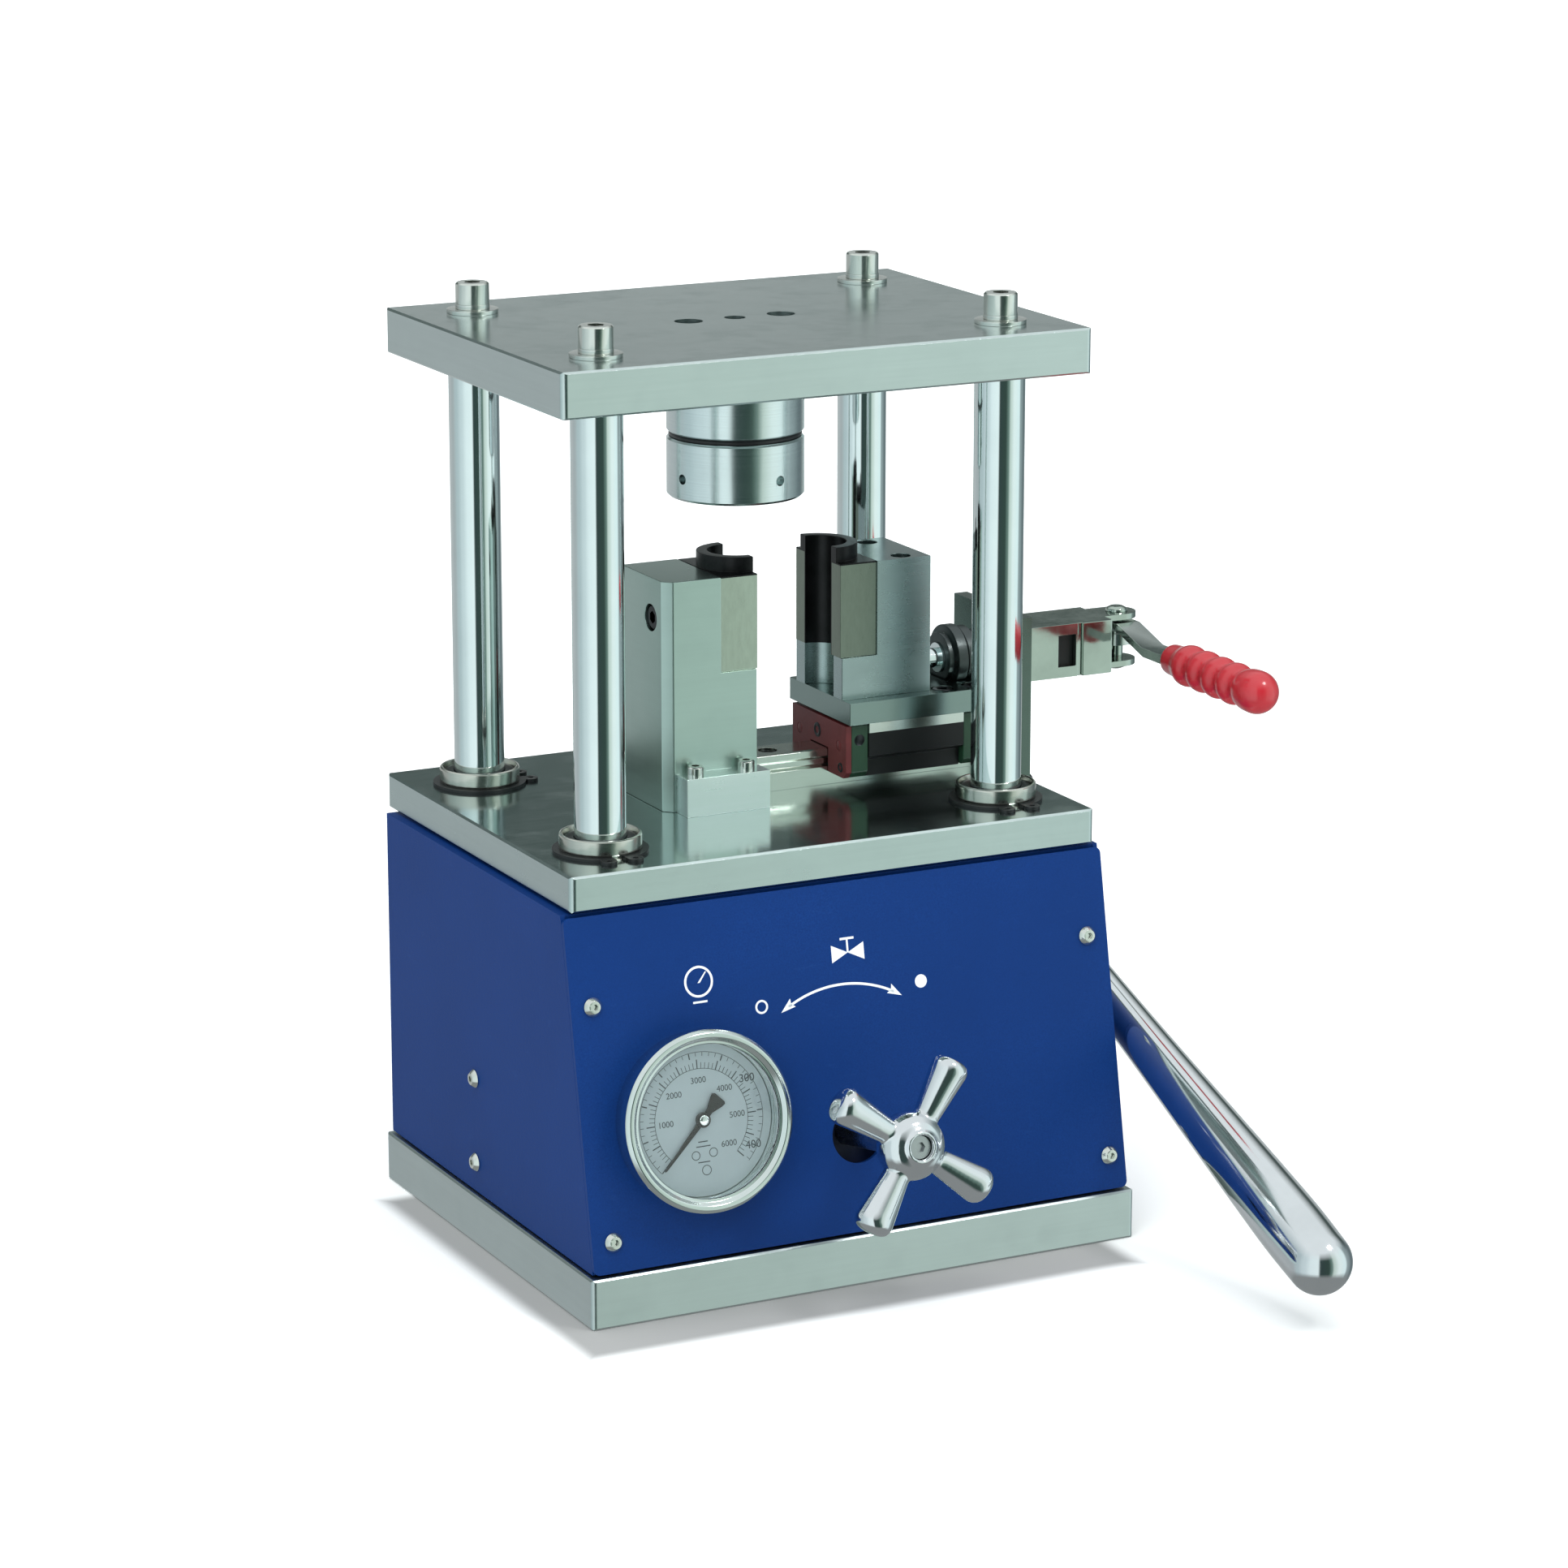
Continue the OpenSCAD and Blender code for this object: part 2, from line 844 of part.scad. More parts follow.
module carriage_caps() {
    color([0.12, 0.38, 0.20])
    for (x = [jaw_gap + 3, jaw_gap + 53.5])
        translate([x, 0, platen_top])
            rotate([90, 0, 90])
                linear_extrude(7.5)
                    difference() {
                        polygon([[-car_w / 2 + 0.6, 27], [-car_w / 2 + 0.6, 8], [-car_w / 2 + 3, 5.4],
                                 [car_w / 2 - 3, 5.4], [car_w / 2 - 0.6, 8], [car_w / 2 - 0.6, 27]]);
                        translate([-rail_w / 2 - 0.5, 0])
                            square([rail_w + 1, rail_h + 0.5]);
                    }
}

module carriage_seals() {
    color([0.55, 0.12, 0.12])
    for (x = [jaw_gap + 0.6, jaw_gap + 61])
        translate([x, 0, platen_top])
            rotate([90, 0, 90])
                linear_extrude(2.4)
                    difference() {
                        polygon([[-car_w / 2 + 0.6, 27], [-car_w / 2 + 0.6, 8], [-car_w / 2 + 3, 5.4],
                                 [car_w / 2 - 3, 5.4], [car_w / 2 - 0.6, 8], [car_w / 2 - 0.6, 27]]);
                        translate([-rail_w / 2 - 0.3, 0])
                            square([rail_w + 0.6, rail_h + 0.3]);
                        for (y = [-17, 17])
                            translate([y, 18])
                                circle(r = 2.2);
                    }
}

module adapter_plate() {
    color([0.72, 0.74, 0.73])
    difference() {
        translate([jaw_gap + 0.8, -26.4, car_top])
            cube([66, 52.8, adapter_t]);
        for (x = [jaw_gap + 46, jaw_gap + 60])
            for (y = [-19, 19])
                translate([x, y, car_top - 1]) {
                    cylinder(h = 12, r = 2.7);
                    translate([0, 0, 5])
                        cylinder(h = 12, r = 4.6);
                }
        for (y = [-14.3, 14.3])
            translate([jaw_gap + 29.5, y, car_top - 1])
                cylinder(h = 12, r = 2.7);
        translate([90, 0, clamp_z])
            rotate([0, 90, 0])
                cylinder(h = 30, r = 13.6);
    }
}

module adapter_screws() {
    color([0.30, 0.30, 0.30])
    for (x = [jaw_gap + 46, jaw_gap + 60])
        for (y = [-19, 19])
            translate([x, y, car_top + 4])
                cap_screw(2.5, 4.25, 5, 4, 2.2);
}

module moving_jaw() {
    color([0.66, 0.68, 0.68])
    difference() {
        translate([jaw_gap, 0, 0])
            mirror([1, 0, 0])
                difference() {
                    translate([-jaw_len, -jaw_w / 2, jaw_z])
                        cube([jaw_len - 0.5, jaw_w, jaw_top - jaw_z]);
                    translate([-insert_len, -jaw_w, insert_z])
                        cube([insert_len + 1, 2 * jaw_w, jaw_top]);
                    translate([0, 0, jaw_z - 1])
                        cylinder(h = jaw_top, r = cell_r + 1.3);
                }
        for (y = [-14.3, 14.3])
            translate([jaw_gap + 29.5, y, jaw_z - 1]) {
                cylinder(h = 80, r = 2.7);
                translate([0, 0, 36])
                    cylinder(h = 80, r = 4);
            }
        translate([jaw_gap + jaw_len - 8, 0, clamp_z])
            rotate([0, 90, 0])
                cylinder(h = 20, r = 4.1);
    }
}

module moving_insert() {
    color([0.34, 0.33, 0.30])
    translate([jaw_gap, 0, 0])
        mirror([1, 0, 0])
            jaw_insert();
}

module jaw_screws() {
    color([0.20, 0.20, 0.20])
    for (y = [-14.3, 14.3])
        translate([jaw_gap + 29.5, y, jaw_z + 35])
            cap_screw(2.4, 3.8, 5, 43, 2);
}

module clamp_plunger() {
    tail = pin_cx + 5.5;
    color([0.84, 0.85, 0.85]) {
        difference() {
            union() {
                translate([jaw_gap + jaw_len - 7, 0, clamp_z])
                    rotate([0, 90, 0])
                        cylinder(h = 22, r = 4);
                translate([90, 0, clamp_z])
                    rotate([0, 90, 0])
                        cylinder(h = tail - 90, r = 6);
            }
            for (z = [2.5, -12.5])
                translate([pin_cx - 14, -10, clamp_z + z])
                    cube([30, 20, 10]);
        }
        translate([pin_cx, 0, clamp_z - 2.9])
            cylinder(h = 5.8, r = 2.5);
    }
}

module plunger_nut() {
    color([0.74, 0.74, 0.72])
    translate([jaw_gap + jaw_len, 0, clamp_z])
        rotate([0, 90, 0])
            difference() {
                cylinder(h = 6.5, r = 7.5, $fn = 6);
                translate([0, 0, -1])
                    cylinder(h = 9, r = 4.1);
            }
}

// ---------- clamp lever and link ----------

module clamp_lever() {
    color([0.78, 0.80, 0.80]) {
        union() {
            translate([0, 0, clamp_z - 2.4])
                linear_extrude(4.8)
                    difference() {
                        union() {
                            translate([pivot_x, 0])
                                circle(r = 7);
                            translate([pin_bx, pin_by])
                                circle(r = 5.5);
                            translate([pivot_x, 0])
                                rotate(crank_turn)
                                    translate([0, -5.5])
                                        square([crank_len, 11]);
                        }
                        translate([pivot_x, 0])
                            circle(r = 3);
                        translate([pin_bx, pin_by])
                            circle(r = 2.6);
                    }
            difference() {
                translate([pivot_x, 0, clamp_z + 2])
                    cylinder(h = 5.6, r = 5.6);
                translate([pivot_x, 0, clamp_z])
                    cylinder(h = 20, r = 3);
            }
            difference() {
                translate([pivot_x - 5.3, 0, clamp_z])
                    rotate([90, 0, 90])
                        linear_extrude(10.6)
                            polygon([[0, 4], [0, 7.6], [-10, 7.6], [-29, 1.9], [-52, 1.9],
                                     [-52, -1.9], [-30.5, -1.9], [-11, 4]]);
                translate([pivot_x, 0, clamp_z])
                    cylinder(h = 20, r = 3);
            }
            translate([pivot_x - 3.5, -112, clamp_z - 1.8])
                cube([6, 61, 3.6]);
        }
    }
}

module lever_grip() {
    color([0.75, 0.08, 0.10])
    difference() {
        translate([pivot_x - 0.5, -46, clamp_z])
            rotate([90, 0, 0]) {
                rotate_extrude()
                    polygon([[0, 0], [5.8, 0], [6.4, 1.4], [6.6, 66], [0, 66]]);
                for (i = [0 : 3])
                    translate([0, 0, 13.4 + i * 11.4])
                        rotate_extrude()
                            translate([4.7, 0])
                                circle(r = 3.5);
                translate([0, 0, 64])
                    sphere(r = 8.7);
            }
        translate([pivot_x - 3.6, -113, clamp_z - 1.9])
            cube([6.2, 61, 3.8]);
        translate([pivot_x - 5.4, -53, clamp_z - 2])
            cube([10.8, 20, 4]);
    }
}

module clamp_link() {
    color([0.76, 0.78, 0.78])
    {
        for (z = [clamp_z - 6.2, clamp_z + 3.2])
            translate([0, 0, z])
                linear_extrude(3)
                    union() {
                        translate([pin_cx, 0])
                            circle(r = 4.9);
                        translate([pin_bx, pin_by])
                            circle(r = 4.9);
                        translate([pin_bx, pin_by])
                            rotate(180 + asin(pin_by / link_len))
                                translate([0, -4])
                                    square([link_len, 8]);
                    }
        for (z = [clamp_z - 6.9, clamp_z + 6.1])
            translate([pin_cx, 0, z])
                cylinder(h = 0.8, r = 3.4);
        translate([pin_bx, pin_by, clamp_z - 6])
            cylinder(h = 12, r = 2.5);
    }
}

// ---------- pump lever, plunger and valve ----------

module along_lever() {
    translate([lever_x, shaft_y, shaft_z])
        rotate([90 + droop, 0, 0])
            children();
}

module pump_lever() {
    end_r = 12.7;
    color([0.85, 0.86, 0.87])
    along_lever() {
        rotate_extrude($fn = 72)
            polygon([[0, 14.5], [7, 14.5], [7.4, 40], [8.2, 90], [9.4, 135], [11, 180],
                     [12.4, 220], [13, 245], [12.7, lever_len - end_r], [0, lever_len - end_r]]);
        translate([0, 0, lever_len - end_r])
            sphere(r = end_r, $fn = 72);
    }
}

module lever_hub() {
    arm = 36;
    color([0.55, 0.56, 0.57])
    difference() {
        union() {
            translate([house_w / 2 + 0.6, shaft_y, shaft_z])
                rotate([0, 90, 0])
                    cylinder(h = 23, r = 14.2);
            translate([78, shaft_y, shaft_z])
                rotate([0, 90, 0])
                    cylinder(h = 50, r = 8);
            translate([0, shaft_y, shaft_z])
                rotate([droop, 0, 0]) {
                    translate([82, 0, 0])
                        rotate([0, 90, 0])
                            cylinder(h = 12, r = 12);
                    translate([82, -arm, -8])
                        cube([12, arm, 16]);
                }
        }
        translate([0, shaft_y, shaft_z])
            rotate([droop, 0, 0])
                translate([81, -arm - 1, -3.7])
                    cube([14, 17, 7.4]);
        along_lever()
            translate([0, 0, 14.5])
                cylinder(h = 30, r = 7.4);
    }
}

module pump_plunger() {
    pin_z = shaft_z - pin_drop;
    color([0.80, 0.82, 0.83])
    {
        difference() {
            translate([pump_x, pump_y, base_t + 12])
                cylinder(h = pin_z + 7 - base_t - 12, r = 7);
            translate([pump_x - 6.4, pump_y - 20, pin_z - 21])
                cube([12.8, 40, 50]);
        }
        translate([pump_x, pump_y, base_t + 12])
            cylinder(h = 20, r = 7);
        translate([pump_x - 10, pump_y, pin_z])
            rotate([0, 90, 0])
                cylinder(h = 20, r = 3);
    }
}

module valve_handle() {
    color([0.85, 0.86, 0.87])
    on_panel(valve_x, valve_s, handle_out)
        difference() {
            union() {
                rotate_extrude()
                    polygon([[0, -12], [8, -12], [8.6, -9], [12.6, -6], [13.4, -2], [13.2, 3], [11, 6],
                             [6.9, 7], [6.9, 8.8], [6.3, 9.4], [0, 9.4]]);
                for (a = [0 : 90 : 270])
                    rotate([0, 0, spoke_turn + a])
                        rotate([0, 90, 0])
                            rotate_extrude()
                                polygon([[0, 8], [5.2, 8], [5.2, 13], [6, 19], [7, spoke_len - 10],
                                         [7.5, spoke_len - 5], [7.2, spoke_len - 3],
                                         [6, spoke_len - 1.2], [4, spoke_len - 0.3], [0, spoke_len]]);
            }
            translate([0, 0, 4.8])
                cylinder(h = 10, r = 4.9);
            translate([0, 0, -13])
                cylinder(h = 13, r = 5);
        }
}

module valve_stem() {
    color([0.60, 0.61, 0.62])
    on_panel(valve_x, valve_s, 0) {
        translate([0, 0, -33])
            cylinder(h = 33 + handle_out, r = 4.97);
        translate([0, 0, handle_out + 4.8])
            difference() {
                cylinder(h = 2.2, r = 4.4);
                translate([0, 0, 0.8])
                    cylinder(h = 2, r = 2.1, $fn = 6);
            }
    }
}

base_plate();
guide_columns();
base_bolts();
top_plate();
top_bolts();
spring_washers();
flat_washers();
housing_shell();
front_panel();
panel_screws();
side_screws();
press_cylinder();
oil_tank();
pump_block();
shaft_pedestal();
valve_block();
oil_pipes();
gauge_case();
gauge_bezel();
gauge_dial();
gauge_glass();
gauge_needle();
die_holder();
crimp_die();
die_screws();
moving_plate();
linear_bearings();
bearing_circlips();
press_ram();
fixed_jaw();
fixed_insert();
jaw_foot();
foot_screws();
jaw_side_screw();
slide_rail();
rail_screws();
clamp_bracket();
bracket_screws();
clamp_frame();
clamp_nose();
frame_pins();
carriage();
carriage_caps();
carriage_seals();
adapter_plate();
adapter_screws();
moving_jaw();
moving_insert();
jaw_screws();
clamp_plunger();
plunger_nut();
clamp_lever();
lever_grip();
clamp_link();
pump_lever();
lever_hub();
pump_plunger();
valve_handle();
valve_stem();
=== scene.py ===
import json
import math

import bmesh
import bpy
from mathutils import Matrix, Vector

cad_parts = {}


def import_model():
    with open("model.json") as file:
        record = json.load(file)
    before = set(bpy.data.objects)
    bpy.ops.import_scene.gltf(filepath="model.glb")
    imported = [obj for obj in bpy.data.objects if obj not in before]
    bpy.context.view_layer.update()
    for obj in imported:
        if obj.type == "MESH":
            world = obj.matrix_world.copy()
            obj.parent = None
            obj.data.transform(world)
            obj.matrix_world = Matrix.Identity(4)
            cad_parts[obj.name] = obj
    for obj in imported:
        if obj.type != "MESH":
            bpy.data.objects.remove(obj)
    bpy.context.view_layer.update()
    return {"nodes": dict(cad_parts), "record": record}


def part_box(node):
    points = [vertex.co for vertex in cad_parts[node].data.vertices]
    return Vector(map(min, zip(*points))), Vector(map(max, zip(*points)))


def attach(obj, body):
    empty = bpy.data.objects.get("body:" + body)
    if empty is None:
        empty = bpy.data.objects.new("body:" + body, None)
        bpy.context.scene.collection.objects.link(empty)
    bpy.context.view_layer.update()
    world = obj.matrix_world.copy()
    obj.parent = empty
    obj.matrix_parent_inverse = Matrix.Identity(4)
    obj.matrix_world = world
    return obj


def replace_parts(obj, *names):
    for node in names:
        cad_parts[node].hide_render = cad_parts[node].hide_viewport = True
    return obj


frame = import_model()
NODES = frame["nodes"]
MM = 0.001
PER_MM = 1000


def in_mm(box):
    """Both corners of a box in metres, as lists of millimetres."""
    return [[c * PER_MM for c in corner] for corner in box]


# ---------------------------------------------------------------- camera

# fitted to the plates, columns, bearing rings and gauge of the photo
CAMERA_AT = (-0.874107, -1.771632, 0.683395)
CAMERA_TURN, CAMERA_DIP = 0.468, 0.253  # radians: from +Y towards +X, and below the horizon
LENS_MM, SENSOR_MM = 117.76, 36.0


def add_camera():
    data = bpy.data.cameras.new("camera")
    data.sensor_fit = "HORIZONTAL"
    data.sensor_width = SENSOR_MM
    data.lens = LENS_MM
    data.clip_start, data.clip_end = 0.05, 60.0
    cam = bpy.data.objects.new("camera", data)
    bpy.context.scene.collection.objects.link(cam)
    look = Vector((math.sin(CAMERA_TURN) * math.cos(CAMERA_DIP),
                   math.cos(CAMERA_TURN) * math.cos(CAMERA_DIP), -math.sin(CAMERA_DIP)))
    cam.location = CAMERA_AT
    cam.rotation_mode = "QUATERNION"
    cam.rotation_quaternion = look.to_track_quat("-Z", "Y")
    bpy.context.scene.camera = cam


# ---------------------------------------------------------------- node helpers

# sockets of the Mix node, which keeps a separate pair for each data type
MIX_FACTOR, MIX_FLOAT_A, MIX_FLOAT_B, MIX_COLOR_A, MIX_COLOR_B, MIX_COLOR_OUT = 0, 2, 3, 6, 7, 2


class Shade:
    """A material under construction: small helpers that return sockets."""

    def __init__(self, name, color, metallic=0.0, roughness=0.5, **sockets):
        self.mat = bpy.data.materials.new(name)
        self.mat.use_nodes = True
        self.tree = self.mat.node_tree
        self.bsdf = self.tree.nodes["Principled BSDF"]
        self.put("Base Color", (*color, 1.0))
        self.put("Metallic", metallic)
        self.put("Roughness", roughness)
        for key, value in sockets.items():
            self.put(key.replace("_", " "), value)
        self.coord = self.tree.nodes.new("ShaderNodeTexCoord")

    def put(self, key, value):
        socket = self.bsdf.inputs[key]
        if isinstance(value, bpy.types.NodeSocket):
            self.tree.links.new(value, socket)
        else:
            socket.default_value = value

    def node(self, kind, inputs, output=0, **props):
        n = self.tree.nodes.new(kind)
        for key, value in props.items():
            setattr(n, key, value)
        for key, value in inputs.items():
            if value is None:  # an operation that takes one input
                continue
            if isinstance(value, bpy.types.NodeSocket):
                self.tree.links.new(value, n.inputs[key])
            else:
                n.inputs[key].default_value = value
        return n.outputs[output]

    def math(self, op, a, b=None, clamp=False):
        return self.node("ShaderNodeMath", {0: a, 1: b}, operation=op, use_clamp=clamp)

    def along_axis(self, axis, source="Object"):
        """One component of the object's coordinates, or of its normal."""
        return self.node("ShaderNodeSeparateXYZ", {0: self.coord.outputs[source]}, output=axis)

    def noise(self, scale, detail=3.0, rough=0.55, shift=(0, 0, 0), distortion=0.0):
        """Noise in the object's own metres; scale is one number or one per axis."""
        if not isinstance(scale, tuple):
            scale = (scale,) * 3
        place = self.node("ShaderNodeMapping", {"Vector": self.coord.outputs["Object"],
                                                "Scale": scale, "Location": shift})
        return self.node("ShaderNodeTexNoise",
                         {"Vector": place, "Scale": 1.0, "Detail": detail,
                          "Roughness": rough, "Distortion": distortion})

    def span(self, value, low, high, to_low=0.0, to_high=1.0):
        return self.node("ShaderNodeMapRange",
                         {"Value": value, "From Min": low, "From Max": high,
                          "To Min": to_low, "To Max": to_high})

    def swing(self, value, amount):
        """A value from 0 to 1, turned into one about zero and scaled."""
        return self.math("MULTIPLY", self.math("SUBTRACT", value, 0.5), amount)

    def mix_value(self, factor, a, b):
        return self.node("ShaderNodeMix", {MIX_FACTOR: factor, MIX_FLOAT_A: a, MIX_FLOAT_B: b},
                         data_type="FLOAT")

    def mix_color(self, factor, a, b):
        a, b = ((*c, 1.0) if isinstance(c, tuple) and len(c) == 3 else c for c in (a, b))
        return self.node("ShaderNodeMix", {MIX_FACTOR: factor, MIX_COLOR_A: a, MIX_COLOR_B: b},
                         output=MIX_COLOR_OUT, data_type="RGBA")

    def mottled(self, factor, color, darker, lighter):
        """The colour made darker and lighter by the given shares."""
        return self.mix_color(factor, scaled(color, 1 - darker), scaled(color, 1 + lighter))

    def bump(self, height, distance, strength=1.0):
        return self.node("ShaderNodeBump", {"Height": height, "Distance": distance,
                                            "Strength": strength})

    def facing_up(self):
        return self.span(self.math("ABSOLUTE", self.along_axis(2, "Normal")), 0.6, 0.9)


def scaled(color, k):
    return tuple(min(1.0, c * k) for c in color)


def ground_metal(name, color, rough_top, rough_side, line=1400, mottle=0.10, depth=2e-6):
    """Surface-ground steel: grinding lines along the long side, cloudy wear, wiped smudges."""
    s = Shade(name, color, 1.0, rough_side)
    up = s.facing_up()
    lines_top = s.noise((22, line, 22), 4.0, 0.65)
    lines_side = s.noise((16, 16, line), 4.0, 0.65)
    lines = s.mix_value(up, lines_side, lines_top)
    cloud = s.noise(28, 4.0, 0.6, distortion=0.6)
    fine = s.noise(90, 3.0, 0.6)
    smudge = s.span(s.noise(60, 5.0, 0.62, shift=(3, 1, 2)), 0.50, 0.72)
    tone = s.math("ADD", s.math("MULTIPLY", s.span(lines, 0.25, 0.75), 0.6),
                  s.math("MULTIPLY", s.span(cloud, 0.3, 0.7), 0.4))
    s.put("Base Color", s.mottled(tone, color, mottle, mottle * 0.7))
    rough = s.math("ADD", s.mix_value(up, rough_side, rough_top), s.swing(lines, 0.05))
    rough = s.math("ADD", rough, s.math("MULTIPLY", smudge, 0.05))
    s.put("Roughness", s.math("ADD", rough, s.swing(fine, 0.03), clamp=True))
    s.put("Normal", s.bump(lines, depth))
    return s.mat


def plain_metal(name, color, rough, grain=900, mottle=0.08, depth=1.5e-6, scratch=0.05,
                cast=0.0):
    """Machined or drawn metal without a grain direction; cast is the scale of a coarser skin."""
    s = Shade(name, color, 1.0, rough)
    fine = s.noise(grain, 3.0, 0.6)
    cloud = s.noise(45, 4.0, 0.6)
    s.put("Base Color", s.mottled(s.span(cloud, 0.3, 0.7), color, mottle, mottle))
    worn = s.math("MULTIPLY", s.span(cloud, 0.45, 0.75), scratch)
    s.put("Roughness", s.math("ADD", s.math("ADD", s.swing(fine, scratch * 2), rough), worn,
                              clamp=True))
    height = fine
    if cast:
        height = s.math("ADD", s.math("MULTIPLY", s.noise(cast, 2.0), 3.0), fine)
    s.put("Normal", s.bump(height, depth))
    return s.mat


def turned_metal(name, color, rough, axis=2, line=1800, mottle=0.10, depth=2.5e-6):
    """Lathe-turned steel: fine rings around the axis."""
    s = Shade(name, color, 1.0, rough)
    scale = [6.0, 6.0, 6.0]
    scale[axis] = line
    rings = s.noise(tuple(scale), 3.0, 0.7)
    cloud = s.noise(60, 4.0, 0.6)
    tone = s.math("ADD", s.math("MULTIPLY", s.span(rings, 0.25, 0.75), 0.65),
                  s.math("MULTIPLY", s.span(cloud, 0.3, 0.7), 0.35))
    s.put("Base Color", s.mottled(tone, color, mottle, mottle * 0.6))
    s.put("Roughness", s.math("ADD", s.swing(rings, 0.12), rough))
    s.put("Normal", s.bump(rings, depth))
    return s.mat


def powder_coat(name, color, painted_sheen_color):
    """Fine-textured powder coat: orange-peel grain with a dusty tone variation, and random scuff
    streaks lightened towards a painted sheen colour.
    """
    s = Shade(name, color, 0.0, 0.42, Specular_IOR_Level=0.10)
    grain = s.noise(1500, 2.0, 0.5)
    peel = s.noise(480, 2.0, 0.5)
    cloud = s.noise(14, 5.0, 0.6)
    scuff_and_sheen = s.span(s.noise((90, 90, 240), 5.0, 0.7), 0.62, 0.78)
    paint = s.mix_color(s.span(cloud, 0.3, 0.7), scaled(color, 0.88), scaled(color, 1.10))
    paint = s.mix_color(s.span(grain, 0.3, 0.72), scaled(color, 0.84), paint)
    # painted sheen: a quarter share of the lighter sheen colour mixed in along random scuff streaks
    s.put("Base Color", s.mix_color(s.math("MULTIPLY", scuff_and_sheen, 0.25), paint, painted_sheen_color))
    s.put("Roughness", s.math("ADD", s.math("MULTIPLY", grain, 0.14), 0.36))
    s.put("Normal", s.bump(s.math("ADD", grain, s.math("MULTIPLY", peel, 2.2)), 1.2e-5, 0.8))
    return s.mat


def moulded(name, color, rough, grain=1200, mottle=0.12, depth=6e-6, coat=0.0):
    """Plastic, rubber or enamel with a fine skin."""
    s = Shade(name, color, 0.0, rough, Coat_Weight=coat, Coat_Roughness=0.06)
    fine = s.noise(grain, 3.0, 0.6)
    cloud = s.noise(70, 4.0, 0.6)
    s.put("Base Color", s.mottled(s.span(cloud, 0.3, 0.7), color, mottle, mottle))
    s.put("Roughness", s.math("ADD", s.swing(fine, 0.12), rough, clamp=True))
    s.put("Normal", s.bump(fine, depth, 0.6))
    return s.mat


def bored_metal(name, face, dark, centres, reach, top):
    """Hardened insert: ground outside, black round its bore and above the height top."""
    s = Shade(name, face, 1.0, 0.30)
    x, y, z = (s.along_axis(i) for i in range(3))
    dark_part = s.math("GREATER_THAN", z, top)
    for centre in centres:
        dx = s.math("SUBTRACT", x, centre)
        squares = s.math("ADD", s.math("MULTIPLY", dx, dx), s.math("MULTIPLY", y, y))
        near = s.math("LESS_THAN", s.math("SQRT", squares), reach)
        dark_part = s.math("MAXIMUM", dark_part, near)
    cloud = s.noise(90, 4.0, 0.6)
    grain = s.noise((500, 500, 160), 4.0, 0.65)
    steel = s.mix_color(s.span(grain, 0.25, 0.75), scaled(face, 0.88), scaled(face, 1.08))
    black = s.mix_color(s.span(cloud, 0.35, 0.7), scaled(dark, 0.7), scaled(dark, 1.6))
    s.put("Base Color", s.mix_color(dark_part, steel, black))
    s.put("Roughness", s.math("ADD", s.math("MULTIPLY", grain, 0.12), 0.24))
    s.put("Metallic", s.span(dark_part, 0.0, 1.0, 1.0, 0.55))
    s.put("Normal", s.bump(grain, 2e-6))
    return s.mat


def capped_black(name, steel, black, height):
    """Black block with a bright ground strip above the height."""
    s = Shade(name, black, 0.0, 0.45)
    bright = s.math("GREATER_THAN", s.along_axis(2), height)
    grain = s.noise((30, 30, 600), 3.0, 0.6)
    dull = s.mix_color(grain, scaled(black, 0.7), scaled(black, 1.5))
    s.put("Base Color", s.mix_color(bright, dull, steel))
    s.put("Metallic", bright)
    s.put("Roughness", s.math("ADD", s.math("MULTIPLY", grain, 0.1),
                              s.span(bright, 0.0, 1.0, 0.45, 0.15)))
    return s.mat


def glass(name):
    s = Shade(name, (1.0, 1.0, 1.0), 0.0, 0.02, IOR=1.45, Transmission_Weight=1.0)
    smear = s.noise(35, 4.0, 0.6)
    s.put("Roughness", s.span(smear, 0.45, 0.8, 0.005, 0.035))
    s.put("Normal", s.bump(smear, 2e-6, 0.5))
    return s.mat


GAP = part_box("moving_insert")[0][0]  # how far the sliding jaw stands open
CARRIAGE_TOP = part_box("carriage")[1][2]
TOP_OF_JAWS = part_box("fixed_jaw")[1][2] - 0.0006
BORE_REACH = 0.0118
RAIL_STRIP = 0.0045

